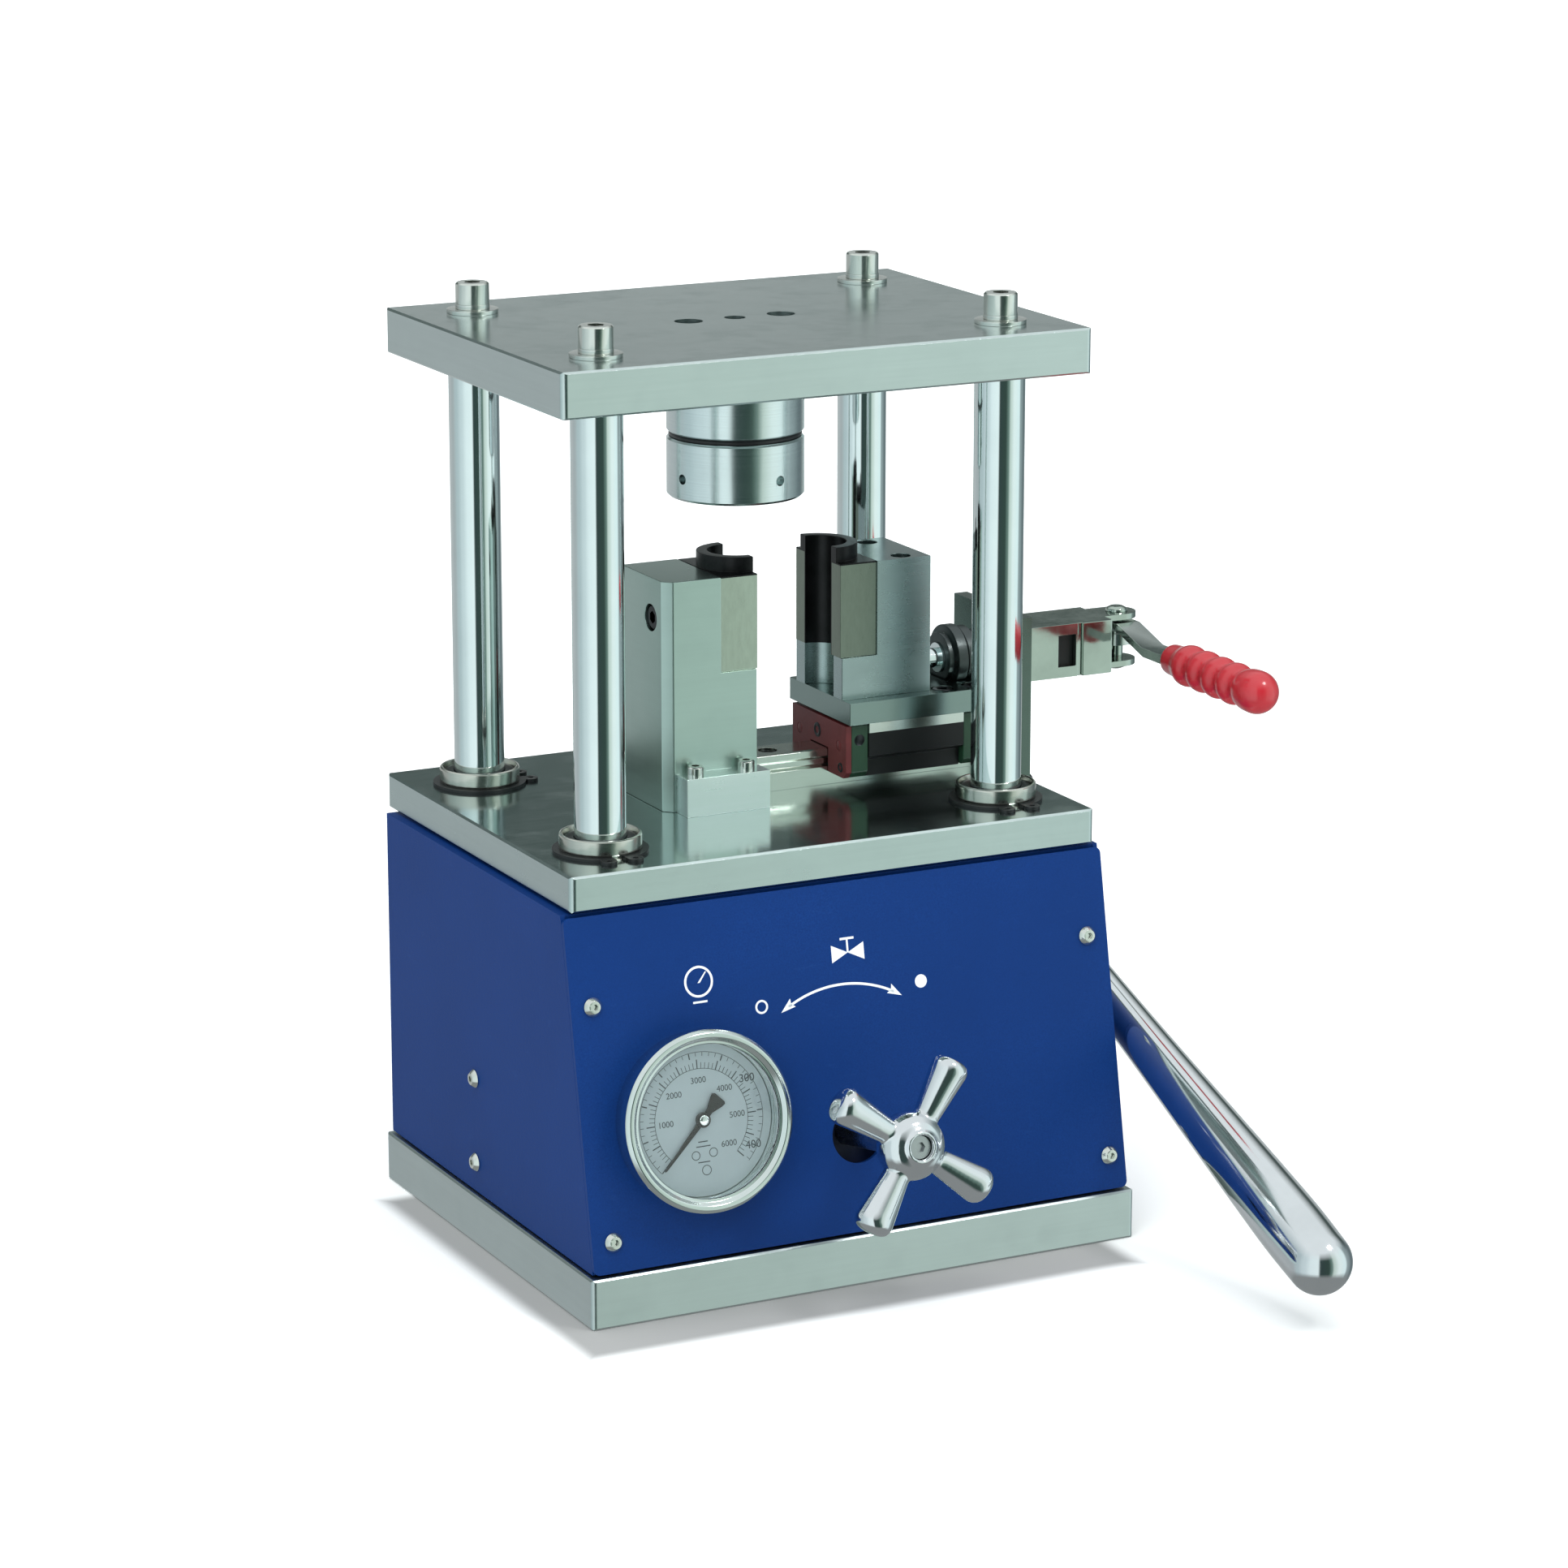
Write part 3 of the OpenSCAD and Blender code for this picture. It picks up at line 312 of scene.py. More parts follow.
# one material for each slot of the record
MATERIALS = {
    "ground_steel": ground_metal("ground_steel", (0.60, 0.69, 0.68), 0.13, 0.24, 500, 0.06, 6e-7),
    "chrome_rod": plain_metal("chrome_rod", (0.83, 0.90, 0.90), 0.075, 700, 0.03, 6e-7, 0.03),
    "plain_screw": plain_metal("plain_screw", (0.76, 0.78, 0.73), 0.14, 900, 0.06, 8e-7),
    "washer_steel": plain_metal("washer_steel", (0.74, 0.76, 0.72), 0.16, 900, 0.08, 8e-7),
    # the second colour is a painted sheen, lighter and greyer than the paint
    "blue_paint": powder_coat("blue_paint", (0.0045, 0.034, 0.168), (0.02, 0.07, 0.24)),
    "inner_steel": plain_metal("inner_steel", (0.42, 0.44, 0.44), 0.35, 500, 0.10),
    "tank_paint": moulded("tank_paint", (0.07, 0.08, 0.09), 0.45, 900),
    "pipe_brass": plain_metal("pipe_brass", (0.55, 0.36, 0.14), 0.28, 900, 0.12),
    "gauge_steel": plain_metal("gauge_steel", (0.74, 0.80, 0.78), 0.13, 900, 0.05, 8e-7, 0.03),
    "dial_white": moulded("dial_white", (0.46, 0.57, 0.60), 0.45, 900, 0.03, 2e-6),
    "gauge_glass": glass("gauge_glass"),
    "needle_black": moulded("needle_black", (0.006, 0.006, 0.007), 0.40, 900, 0.1, 2e-6),
    "die_steel": turned_metal("die_steel", (0.80, 0.88, 0.88), 0.19),
    "black_screw": plain_metal("black_screw", (0.055, 0.055, 0.06), 0.32, 900, 0.15),
    "bearing_steel": turned_metal("bearing_steel", (0.66, 0.66, 0.60), 0.19, 2, 900, 0.08),
    "circlip_black": moulded("circlip_black", (0.012, 0.013, 0.014), 0.35, 700),
    "jaw_steel": ground_metal("jaw_steel", (0.52, 0.65, 0.60), 0.24, 0.30, 420, 0.05, 1e-7),
    "insert_steel": bored_metal("insert_steel", (0.50, 0.57, 0.48), (0.010, 0.010, 0.011),
                                (0.0, GAP), BORE_REACH, TOP_OF_JAWS),
    "clamp_cast": plain_metal("clamp_cast", (0.10, 0.115, 0.115), 0.36, 300, 0.18, 8e-6, 0.08,
                              cast=160),
    "rail_steel": ground_metal("rail_steel", (0.74, 0.78, 0.72), 0.16, 0.16, 700, 0.05, 6e-7),
    "clamp_zinc": plain_metal("clamp_zinc", (0.48, 0.55, 0.49), 0.10, 420, 0.10, 2e-6, 0.06),
    "carriage_black": moulded("carriage_black", (0.004, 0.0045, 0.005), 0.42, 900),
    "cap_green": moulded("cap_green", (0.016, 0.055, 0.028), 0.36, 900),
    "seal_red": moulded("seal_red", (0.13, 0.018, 0.020), 0.46, 900),
    "adapter_steel": ground_metal("adapter_steel", (0.28, 0.36, 0.34), 0.17, 0.20, 500, 0.06,
                                  2e-7),
    "grip_red": moulded("grip_red", (0.42, 0.014, 0.024), 0.30, 260, 0.04, 4e-6, 0.7),
    "polished_chrome": plain_metal("polished_chrome", (0.80, 0.82, 0.84), 0.09, 500, 0.04, 4e-7,
                                   0.03),
    "shaft_steel": plain_metal("shaft_steel", (0.50, 0.52, 0.53), 0.28, 800, 0.10),
}
# nodes given their own material in place of their slot's; the darker moving jaw, moving insert and
# valve block are painted shade
FINISH = {
    "top_plate": ground_metal("top_ground", (0.66, 0.74, 0.73), 0.22, 0.22, 500, 0.05, 4e-7),
    "base_plate": ground_metal("base_ground", (0.62, 0.69, 0.68), 0.30, 0.30, 420, 0.06, 6e-7),
    # painted shade: the sliding jaw gets a darker copy of the ground jaw steel
    "moving_jaw": ground_metal("jaw_dark_ground", (0.42, 0.51, 0.51), 0.22, 0.27, 420, 0.06, 1e-7),
    # painted shade: the valve block, seen through the panel's hole round the valve, is near-black
    # blue
    "valve_block": moulded("block_dark", (0.003, 0.008, 0.035), 0.5, 800, 0.1),
    "jaw_foot": ground_metal("foot_ground", (0.90, 1.0, 0.97), 0.22, 0.28, 420, 0.05, 1e-7),
    "clamp_bracket": ground_metal("bracket_ground", (0.14, 0.19, 0.165), 0.24, 0.26, 420, 0.06,
                                  2e-7),
    # painted shade: the sliding jaw's insert gets a half-bright copy of the insert steel
    "moving_insert": bored_metal("insert_dark", (0.25, 0.29, 0.24), (0.008, 0.008, 0.009),
                                 (0.0, GAP), BORE_REACH, TOP_OF_JAWS),
    "clamp_lever": plain_metal("lever_zinc", (0.66, 0.70, 0.67), 0.16, 420, 0.10, 2e-6, 0.06),
    "carriage": capped_black("carriage_body", (0.70, 0.74, 0.70), (0.003, 0.0034, 0.004),
                             CARRIAGE_TOP - RAIL_STRIP),
}
PRINT_WHITE = moulded("print_white", (0.80, 0.84, 0.88), 0.5, 900, 0.02, 1e-6)
PRINT_DARK = moulded("print_dark", (0.045, 0.060, 0.070), 0.5, 900, 0.05, 1e-6)


# ---------------------------------------------------------------- edge finish of the machined parts

SHARP_ANGLE, BEVEL_ANGLE, FLAT_ANGLE = (math.radians(a) for a in (32, 38, 0.2))
WELD_DISTANCE = 2e-6


def soft_edges_group():
    """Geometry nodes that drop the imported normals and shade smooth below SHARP_ANGLE."""
    g = bpy.data.node_groups.new("shade_by_angle", "GeometryNodeTree")
    g.interface.new_socket("Geometry", in_out="INPUT", socket_type="NodeSocketGeometry")
    g.interface.new_socket("Geometry", in_out="OUTPUT", socket_type="NodeSocketGeometry")
    first, last = g.nodes.new("NodeGroupInput"), g.nodes.new("NodeGroupOutput")
    clear = g.nodes.new("GeometryNodeSetMeshNormal")
    clear.mode = "SHARPNESS"
    angle = g.nodes.new("GeometryNodeInputMeshEdgeAngle")
    sharp = g.nodes.new("FunctionNodeCompare")
    sharp.data_type, sharp.operation = "FLOAT", "GREATER_THAN"
    sharp.inputs[1].default_value = SHARP_ANGLE
    g.links.new(first.outputs[0], clear.inputs["Mesh"])
    clear.inputs["Remove Custom"].default_value = True
    g.links.new(angle.outputs["Unsigned Angle"], sharp.inputs[0])
    g.links.new(sharp.outputs[0], clear.inputs["Edge Sharpness"])
    g.links.new(clear.outputs[0], last.inputs[0])
    return g


SOFT_EDGES = soft_edges_group()


def finish_edges(obj, width, flat=False):
    """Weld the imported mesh, join the faces of flat sides, round the edges and even the shading."""
    weld = obj.modifiers.new("weld", "WELD")
    weld.merge_threshold = WELD_DISTANCE
    if flat:
        dissolve = obj.modifiers.new("dissolve", "DECIMATE")
        dissolve.decimate_type = "DISSOLVE"
        dissolve.angle_limit = FLAT_ANGLE
    if width:
        bevel = obj.modifiers.new("bevel", "BEVEL")
        bevel.limit_method = "ANGLE"
        bevel.angle_limit = BEVEL_ANGLE
        bevel.width = width
        bevel.segments = 2
        bevel.use_clamp_overlap = True
    shade = obj.modifiers.new("shade", "NODES")
    shade.node_group = SOFT_EDGES
    even = obj.modifiers.new("even", "WEIGHTED_NORMAL")
    even.mode = "FACE_AREA"
    even.weight = 100
    even.keep_sharp = True


# the rounding of each node's edges; a node that is not named keeps its edges
EDGE_MM = {
    "base_plate": 0.5, "top_plate": 0.4, "moving_plate": 0.4, "guide_columns": 0.3,
    "top_bolts": 0.3, "flat_washers": 0.2, "spring_washers": 0.2, "housing_shell": 0.35,
    "front_panel": 0.5, "panel_screws": 0.2, "side_screws": 0.2, "die_holder": 0.4,
    "crimp_die": 0.5, "linear_bearings": 0.4, "bearing_circlips": 0.2, "press_ram": 0.4,
    "fixed_jaw": 0.5, "fixed_insert": 0.3, "jaw_foot": 0.5, "foot_screws": 0.25,
    "jaw_side_screw": 0.25, "slide_rail": 0.25, "rail_screws": 0.15, "clamp_bracket": 0.4,
    "bracket_screws": 0.2, "clamp_frame": 0.4, "clamp_nose": 0.3, "frame_pins": 0.2,
    "carriage": 0.4, "carriage_caps": 0.5, "carriage_seals": 0.25, "adapter_plate": 0.4,
    "adapter_screws": 0.2, "moving_jaw": 0.5, "moving_insert": 0.3, "jaw_screws": 0.2,
    "clamp_plunger": 0.3, "plunger_nut": 0.3, "clamp_lever": 0.4, "clamp_link": 0.3,
    "lever_hub": 0.4, "valve_stem": 0.2, "gauge_bezel": 0.3, "gauge_case": 0.3,
}
# nodes with large flat sides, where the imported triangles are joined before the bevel
FLAT_FACED = {"carriage", "carriage_caps", "carriage_seals", "adapter_plate", "fixed_jaw",
              "moving_jaw", "jaw_foot", "clamp_bracket", "clamp_frame", "slide_rail"}


def dress_nodes():
    slots = {p["node"]: p["material_slot"] for p in frame["record"]["subparts"]}
    for name, obj in NODES.items():
        material = FINISH.get(name, MATERIALS[slots[name]])
        if not obj.material_slots:
            obj.data.materials.append(material)
        for i in range(len(obj.material_slots)):
            obj.material_slots[i].material = material
        finish_edges(obj, EDGE_MM.get(name, 0.0) * MM, flat=name in FLAT_FACED)


# ---------------------------------------------------------------- studio

# what the object sees round it: direction in degrees, 0 towards the camera, and colour
HORIZON = [(-180, (0.56, 0.60, 0.60)), (-145, (0.48, 0.51, 0.52)), (-109, (0.42, 0.46, 0.47)),
           (-87, (0.47, 0.57, 0.59)), (-60, (0.62, 0.73, 0.75)), (-30, (0.82, 0.94, 0.95)),
           (-10, (0.86, 0.98, 0.98)), (-1, (0.040, 0.065, 0.062)), (27, (0.040, 0.070, 0.060)),
           (38, (0.14, 0.22, 0.19)), (48, (0.62, 0.74, 0.68)), (68, (0.84, 0.96, 0.94)),
           (94, (0.80, 0.96, 0.96)), (106, (0.30, 0.37, 0.38)), (139, (0.13, 0.17, 0.18)),
           (168, (0.52, 0.56, 0.56))]
# the share of the dark band behind the object, by the same directions
REAR = [(-180, 1.0), (-128, 1.0), (-98, 0.0), (118, 0.0), (140, 1.0)]
REAR_COLOR, LOW_COLOR, HIGH_COLOR = (0.075, 0.10, 0.095), (0.26, 0.28, 0.28), (0.82, 0.88, 0.89)
# heights, as the direction's z, over which the band, the ground and the sky take over
REAR_RISE, LOW_RISE, HIGH_RISE = (0.175, 0.215), (-0.42, -0.62), (0.38, 0.75)
SIDE_OF_X = 116.8  # the direction of the row frame's +X in these degrees


def world():
    """White to the camera. Round the object, soft bright and dark studio bands by direction."""
    w = bpy.data.worlds.new("studio")
    bpy.context.scene.world = w
    w.use_nodes = True
    nodes, link = w.node_tree.nodes, w.node_tree.links.new

    def add(kind, inputs, output=0, **props):
        made = nodes.new(kind)
        for key, value in props.items():
            setattr(made, key, value)
        for key, value in inputs.items():
            if isinstance(value, bpy.types.NodeSocket):
                link(value, made.inputs[key])
            else:
                made.inputs[key].default_value = value
        return made.outputs[output]

    def bands(direction, stops, interpolation):
        ramp = nodes.new("ShaderNodeValToRGB")
        ramp.color_ramp.interpolation = interpolation
        elements = ramp.color_ramp.elements
        while len(elements) < len(stops):
            elements.new(0.5)
        for i, (degrees, color) in enumerate(stops):
            elements[i].position = (degrees + 180) / 360
            elements[i].color = (*color, 1)
        link(direction, ramp.inputs[0])
        return ramp.outputs[0]

    def rise(low, high):
        return add("ShaderNodeMapRange", {0: z, 1: low, 2: high})

    def blend(factor, a, b):
        return add("ShaderNodeMix", {MIX_FACTOR: factor, MIX_COLOR_A: a, MIX_COLOR_B: (*b, 1)},
                   output=MIX_COLOR_OUT, data_type="RGBA")

    coord = add("ShaderNodeTexCoord", {}, output="Generated")
    x, y, z = (add("ShaderNodeSeparateXYZ", {0: coord}, output=i) for i in range(3))
    turn = add("ShaderNodeMath", {0: y, 1: x}, operation="ARCTAN2")
    share = add("ShaderNodeMath", {0: turn, 1: 1 / (2 * math.pi), 2: (SIDE_OF_X + 180) / 360},
                operation="MULTIPLY_ADD")
    direction = add("ShaderNodeMath", {0: share}, operation="FRACT")
    horizon = bands(direction, HORIZON, "EASE")
    rear = bands(direction, [(degrees, (v, v, v)) for degrees, v in REAR], "LINEAR")
    behind = add("ShaderNodeMath", {0: rear, 1: rise(*REAR_RISE)}, operation="MULTIPLY")
    sky = blend(behind, horizon, REAR_COLOR)
    sky = blend(rise(*LOW_RISE), sky, LOW_COLOR)
    sky = blend(rise(*HIGH_RISE), sky, HIGH_COLOR)
    camera_ray = add("ShaderNodeLightPath", {}, output="Is Camera Ray")
    back = nodes["Background"]
    link(blend(camera_ray, sky, (1, 1, 1)), back.inputs[0])
    back.inputs[1].default_value = 1.0


def soft_light(name, place, target, size, watts, glossy=False):
    data = bpy.data.lights.new(name, "AREA")
    data.shape = "RECTANGLE"
    data.size, data.size_y = size
    data.energy = watts
    obj = bpy.data.objects.new(name, data)
    bpy.context.scene.collection.objects.link(obj)
    obj.location = place
    obj.rotation_mode = "QUATERNION"
    obj.rotation_quaternion = (Vector(target) - Vector(place)).to_track_quat("-Z", "Y")
    obj.visible_camera = False
    obj.visible_glossy = glossy


def disc(name, radius, height, material):
    bm = bmesh.new()
    bmesh.ops.create_circle(bm, cap_ends=True, radius=radius, segments=96)
    bmesh.ops.translate(bm, verts=bm.verts, vec=(0, 0, height))
    mesh = bpy.data.meshes.new(name)
    bm.to_mesh(mesh)
    bm.free()
    mesh.materials.append(material)
    obj = bpy.data.objects.new(name, mesh)
    bpy.context.scene.collection.objects.link(obj)
    return obj


FLOOR = (0.93, 0.93, 0.93)
# painted shadow on the floor beside the base: its soft edge, its reach and its darkest share
PAINTED_SHADOW_SOFTNESS, PAINTED_SHADOW_WIDTH, PAINTED_SHADOW_DARKEST = 0.010, 0.026, 0.37


def studio():
    """White floor that glows a little towards its rim, with a painted shadow along the base's front
    and left edges, and four soft lights.
    """
    world()
    s = Shade("floor_white", FLOOR, 0.0, 0.9, Specular_IOR_Level=0.0)
    s.put("Emission Color", (1, 1, 1, 1))
    distance = s.node("ShaderNodeVectorMath", {0: s.coord.outputs["Object"]}, output=1,
                      operation="LENGTH")
    glow = s.span(distance, 0.4, 2.2, 0.12, 0.75)
    # painted shadow: the floor's colour and glow darkened along the front and left edges of the base
    low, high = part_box("base_plate")

    def outside(value, start, end):
        from_middle = s.math("ABSOLUTE", s.math("SUBTRACT", value, (start + end) / 2))
        return s.math("SUBTRACT", from_middle, (end - start) / 2)

    across = outside(s.along_axis(0), low[0] - PAINTED_SHADOW_WIDTH / 2, high[0] - PAINTED_SHADOW_WIDTH / 2)
    deep = outside(s.along_axis(1), low[1] - PAINTED_SHADOW_WIDTH, high[1] - PAINTED_SHADOW_WIDTH)
    shade = s.node("ShaderNodeMapRange",
                   {"Value": s.math("MAXIMUM", across, deep), "From Min": -0.5 * PAINTED_SHADOW_SOFTNESS,
                    "From Max": 0.5 * PAINTED_SHADOW_SOFTNESS, "To Min": PAINTED_SHADOW_DARKEST, "To Max": 1.0},
                   interpolation_type="SMOOTHSTEP")
    s.put("Base Color", s.mix_color(shade, (0.0, 0.0, 0.0), FLOOR))
    s.put("Emission Strength", s.math("MULTIPLY", glow, shade))
    disc("studio_floor", 25.0, -0.0004, s.mat).visible_glossy = False
    disc("studio_table", 0.55, 0.0, s.mat).visible_glossy = False
    soft_light("overhead", (-0.2, -0.1, 2.0), (0, 0, 0.1), (1.8, 1.8), 26)
    soft_light("key_left", (-1.6, -1.5, 1.3), (0, 0, 0.2), (1.3, 1.3), 16)
    soft_light("fill_right", (1.8, -0.9, 0.8), (0, 0, 0.2), (0.8, 1.2), 6)
    soft_light("sparkle", (0.7, -1.07, 1.6), (0, -0.05, 0.2), (0.36, 0.36), 7, glossy=True)


# ---------------------------------------------------------------- made pieces

JOINTS = {j["name"]: j for j in frame["record"]["behaviour"]["joints"]}


def piece(name, bm, material, body, place=None, smooth=True):
    """A finished bmesh, given in millimetres in its own axes, set in the row frame on a body."""
    bmesh.ops.scale(bm, vec=(MM, MM, MM), verts=bm.verts)
    if place is not None:
        bm.transform(place)
    bmesh.ops.recalc_face_normals(bm, faces=bm.faces)
    for f in bm.faces:
        f.smooth = smooth
    mesh = bpy.data.meshes.new(name)
    bm.to_mesh(mesh)
    bm.free()
    mesh.materials.append(material)
    obj = bpy.data.objects.new(name, mesh)
    bpy.context.scene.collection.objects.link(obj)
    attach(obj, body)
    return obj


def flowing(points, steps=6):
    """Catmull-Rom curve through profile points."""
    out = []
    for i in range(len(points) - 1):
        p0 = points[max(i - 1, 0)]
        p1, p2 = points[i], points[i + 1]
        p3 = points[min(i + 2, len(points) - 1)]
        for k in range(steps):
            t = k / steps
            out.append(tuple(0.5 * (2 * b + (c - a) * t + (2 * a - 5 * b + 4 * c - d) * t ** 2
                                    + (3 * b - a - 3 * c + d) * t ** 3)
                             for a, b, c, d in zip(p0, p1, p2, p3)))
    out.append(points[-1])
    return out


def arc(cr, cz, radius, start, end, steps=12):
    """Profile points on a circle, angles in degrees from +r towards +z."""
    return [(cr + radius * math.cos(math.radians(start + (end - start) * k / steps)),
             cz + radius * math.sin(math.radians(start + (end - start) * k / steps)))
            for k in range(steps + 1)]


def lathe(bm, profile, turn=None, sides=96):
    """Turned shape about Z from (radius, height) points; a point on the axis closes it."""
    rings = []
    for r, z in profile:
        if r < 1e-4:
            rings.append([bm.verts.new((0, 0, z))])
        else:
            rings.append([bm.verts.new((r * math.cos(2 * math.pi * k / sides),
                                        r * math.sin(2 * math.pi * k / sides), z))
                          for k in range(sides)])
    made = [v for ring in rings for v in ring]
    for a, b in zip(rings, rings[1:]):
        for k in range(sides):
            j = (k + 1) % sides
            if len(a) == 1 and len(b) == 1:
                continue
            if len(a) == 1:
                bm.faces.new((a[0], b[k], b[j]))
            elif len(b) == 1:
                bm.faces.new((a[k], a[j], b[0]))
            else:
                bm.faces.new((a[k], a[j], b[j], b[k]))
    if turn is not None:
        bmesh.ops.transform(bm, matrix=turn, verts=made)


def prism(bm, outline, low, high, turn=None):
    """Straight-sided solid over an (x, y) outline."""
    bottom = [bm.verts.new((x, y, low)) for x, y in outline]
    top = [bm.verts.new((x, y, high)) for x, y in outline]
    bm.faces.new(bottom[::-1])
    bm.faces.new(top)
    n = len(outline)
    for k in range(n):
        j = (k + 1) % n
        bm.faces.new((bottom[k], bottom[j], top[j], top[k]))
    if turn is not None:
        bmesh.ops.transform(bm, matrix=turn, verts=bottom + top)


def along(start, direction, up=(0, 0, 1)):
    """Matrix whose +Z runs along direction from start, both in the row frame."""
    z = Vector(direction).normalized()
    x = Vector(up).cross(z)
    x = x.normalized() if x.length > 1e-6 else Vector((1, 0, 0))
    m = Matrix((x, z.cross(x), z)).transposed().to_4x4()
    return Matrix.Translation(Vector(start)) @ m


# the sloping panel: X across, Y up the slope, Z out of it, in millimetres
OUT = Vector(JOINTS["valve_turn"]["axis"]).normalized()
SLOPE = Matrix((Vector((1, 0, 0)), OUT.cross(Vector((1, 0, 0))), OUT)).transposed().to_4x4()
VALVE_OUT, NEEDLE_OUT = 44.0, 5.8
VALVE_AT = Vector(JOINTS["valve_turn"]["pos_m"]) - OUT * VALVE_OUT * MM
GAUGE_AT = Vector(JOINTS["needle_turn"]["pos_m"]) - OUT * NEEDLE_OUT * MM


def on_valve(out=0.0):
    """Panel axes about the valve, lifted out of the panel."""
    return Matrix.Translation(VALVE_AT + OUT * out * MM) @ SLOPE


def on_gauge(out=0.0):
    """Panel axes about the gauge, lifted out of the panel."""
    return Matrix.Translation(GAUGE_AT + OUT * out * MM) @ SLOPE


LEVER_DROOP, LEVER_LENGTH, LEVER_START, LEVER_END = math.radians(21.2), 275.9, 14.5, 12.7


def pump_lever():
    """Chromed lever that swells towards its round end."""
    bm = bmesh.new()
    ball = LEVER_LENGTH - LEVER_END
    shank = [(7.0, LEVER_START), (7.15, 26), (7.45, 45), (8.2, 90), (9.4, 135), (11.0, 180),
             (12.4, 220), (12.98, 244), (LEVER_END, ball)]
    lathe(bm, [(0, LEVER_START)] + flowing(shank, 8)
          + arc(0, ball, LEVER_END, 8, 90, 16)[:-1] + [(0, LEVER_LENGTH)], sides=128)
    place = along(JOINTS["pump_handle_turn"]["pos_m"],
                  (0, -math.cos(LEVER_DROOP), -math.sin(LEVER_DROOP)), (1, 0, 0))
    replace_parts(piece("pump_lever_turned", bm, MATERIALS["polished_chrome"], "pump_handle",
                      place), "pump_lever")


def lever_grip():
    """Dipped vinyl grip: thin start, four soft rings, round glossy end."""
    skin = [(5.6, 0.0), (6.1, 0.5), (6.35, 2.0), (6.5, 5.0), (6.7, 8.0)]
    first_ring, ring_step, rings = 13.4, 11.4, 4
    for i in range(rings):
        z = first_ring + ring_step * i
        skin += [(7.7, z - 2.8), (8.45, z - 0.3), (8.2, z + 2.2), (6.5, z + 5.2)]
    skin += [(7.9, 57.0), (8.55, 60.0), (8.7, 63.4)]
    end, end_radius = 64, 8.68
    bm = bmesh.new()
    lathe(bm, [(0, 0)] + flowing(skin, 6) + arc(0, end, end_radius, 4, 90, 14)[:-1]
          + [(0, end + end_radius)], sides=96)
    low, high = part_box("lever_grip")
    centre = ((low[0] + high[0]) / 2, high[1], (low[2] + high[2]) / 2)
    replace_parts(piece("grip_dipped", bm, MATERIALS["grip_red"], "clamp_handle",
                      along(centre, (0, -1, 0))), "lever_grip")


def window_liner():
    """Black plate inside the clamp frame, behind its window."""
    low, high = (Vector(v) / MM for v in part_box("clamp_frame"))
    mid = (low.z + high.z) / 2
    x0, x1 = low.x + 17.0, low.x + 31.0
    y0, y1 = low.y + 3.5, low.y + 5.2
    half = 8.2
    bm = bmesh.new()
    prism(bm, [(x0, y0), (x1, y0), (x1, y1), (x0, y1)], mid - half, mid + half)
    piece("window_liner", bm, MATERIALS["carriage_black"], "moving_table",
          smooth=False)


SPOKE_REACH, SPOKE_TURN, SPOKES = 36.8, 54.8, 4
FUSE_VOXEL = 0.00045


def valve_handle():
    """Cast four-spoke handle: the turned shapes are fused, so they meet in small fillets."""
    bm = bmesh.new()
    bore = 5.05
    hub = [(bore, -12), (7.6, -12), (8.2, -11.2), (8.7, -8.8), (11.4, -6.8), (13.0, -4.2),
           (13.4, -1.0), (13.1, 2.6), (11.6, 5.2), (9.4, 7.0), (7.2, 8.0), (6.4, 8.4),
           (6.2, 9.2), (5.8, 9.4), (5.1, 9.4), (4.7, 9.0), (4.7, 4.8), (0, 4.8)]
    lathe(bm, [(0, 0), (bore, 0)] + hub)
    spoke = [(5.2, 9.0), (5.2, 12.5), (5.9, 18.5), (6.9, SPOKE_REACH - 10),
             (7.45, SPOKE_REACH - 5.4), (7.3, SPOKE_REACH - 3.2), (6.2, SPOKE_REACH - 1.3),
             (4.2, SPOKE_REACH - 0.35), (2.0, SPOKE_REACH - 0.05)]
    for k in range(SPOKES):
        turn = (Matrix.Rotation(math.radians(SPOKE_TURN + 360 / SPOKES * k), 4, "Z")
                @ Matrix.Rotation(math.radians(90), 4, "Y"))
        lathe(bm, [(0, 9.0)] + flowing(spoke, 5) + [(0, SPOKE_REACH)], turn, 64)
    obj = piece("valve_handle_cast", bm, MATERIALS["polished_chrome"], "release_valve",
                on_valve(VALVE_OUT))
    fuse = obj.modifiers.new("fuse", "REMESH")
    fuse.mode, fuse.voxel_size, fuse.use_smooth_shade = "VOXEL", FUSE_VOXEL, True
    ease = obj.modifiers.new("ease", "SMOOTH")
    ease.factor, ease.iterations = 0.5, 14
    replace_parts(obj, "valve_handle")


def digits(bm, text, size, x, y, z, height=0.05):
    """Dial numbers as thin solid figures, centred on x, y and standing on z."""
    curve = bpy.data.curves.new("digits", "FONT")
    curve.body, curve.size, curve.extrude = text, size, height / 2
    curve.align_x = curve.align_y = "CENTER"
    holder = bpy.data.objects.new("digits", curve)
    bpy.context.scene.collection.objects.link(holder)
    bpy.context.view_layer.update()
    solid = holder.evaluated_get(bpy.context.evaluated_depsgraph_get())
    mesh = bpy.data.meshes.new_from_object(solid)
    mesh.transform(Matrix.Translation((x, y, z + height / 2)))
    bm.from_mesh(mesh)
    bpy.data.meshes.remove(mesh)
    bpy.data.objects.remove(holder)
    bpy.data.curves.remove(curve)


def rim(bm, x, y, inner, outer, start, end, steps, low, high):
    """Flat ring or part of one about x, y, from start to end in degrees."""
    for k in range(steps):
        a, b = (math.radians(start + (end - start) * (k + i) / steps) for i in (0, 1))
        prism(bm, [(x + r * math.cos(t), y + r * math.sin(t))
                   for r, t in ((inner, a), (inner, b), (outer, b), (outer, a))], low, high)


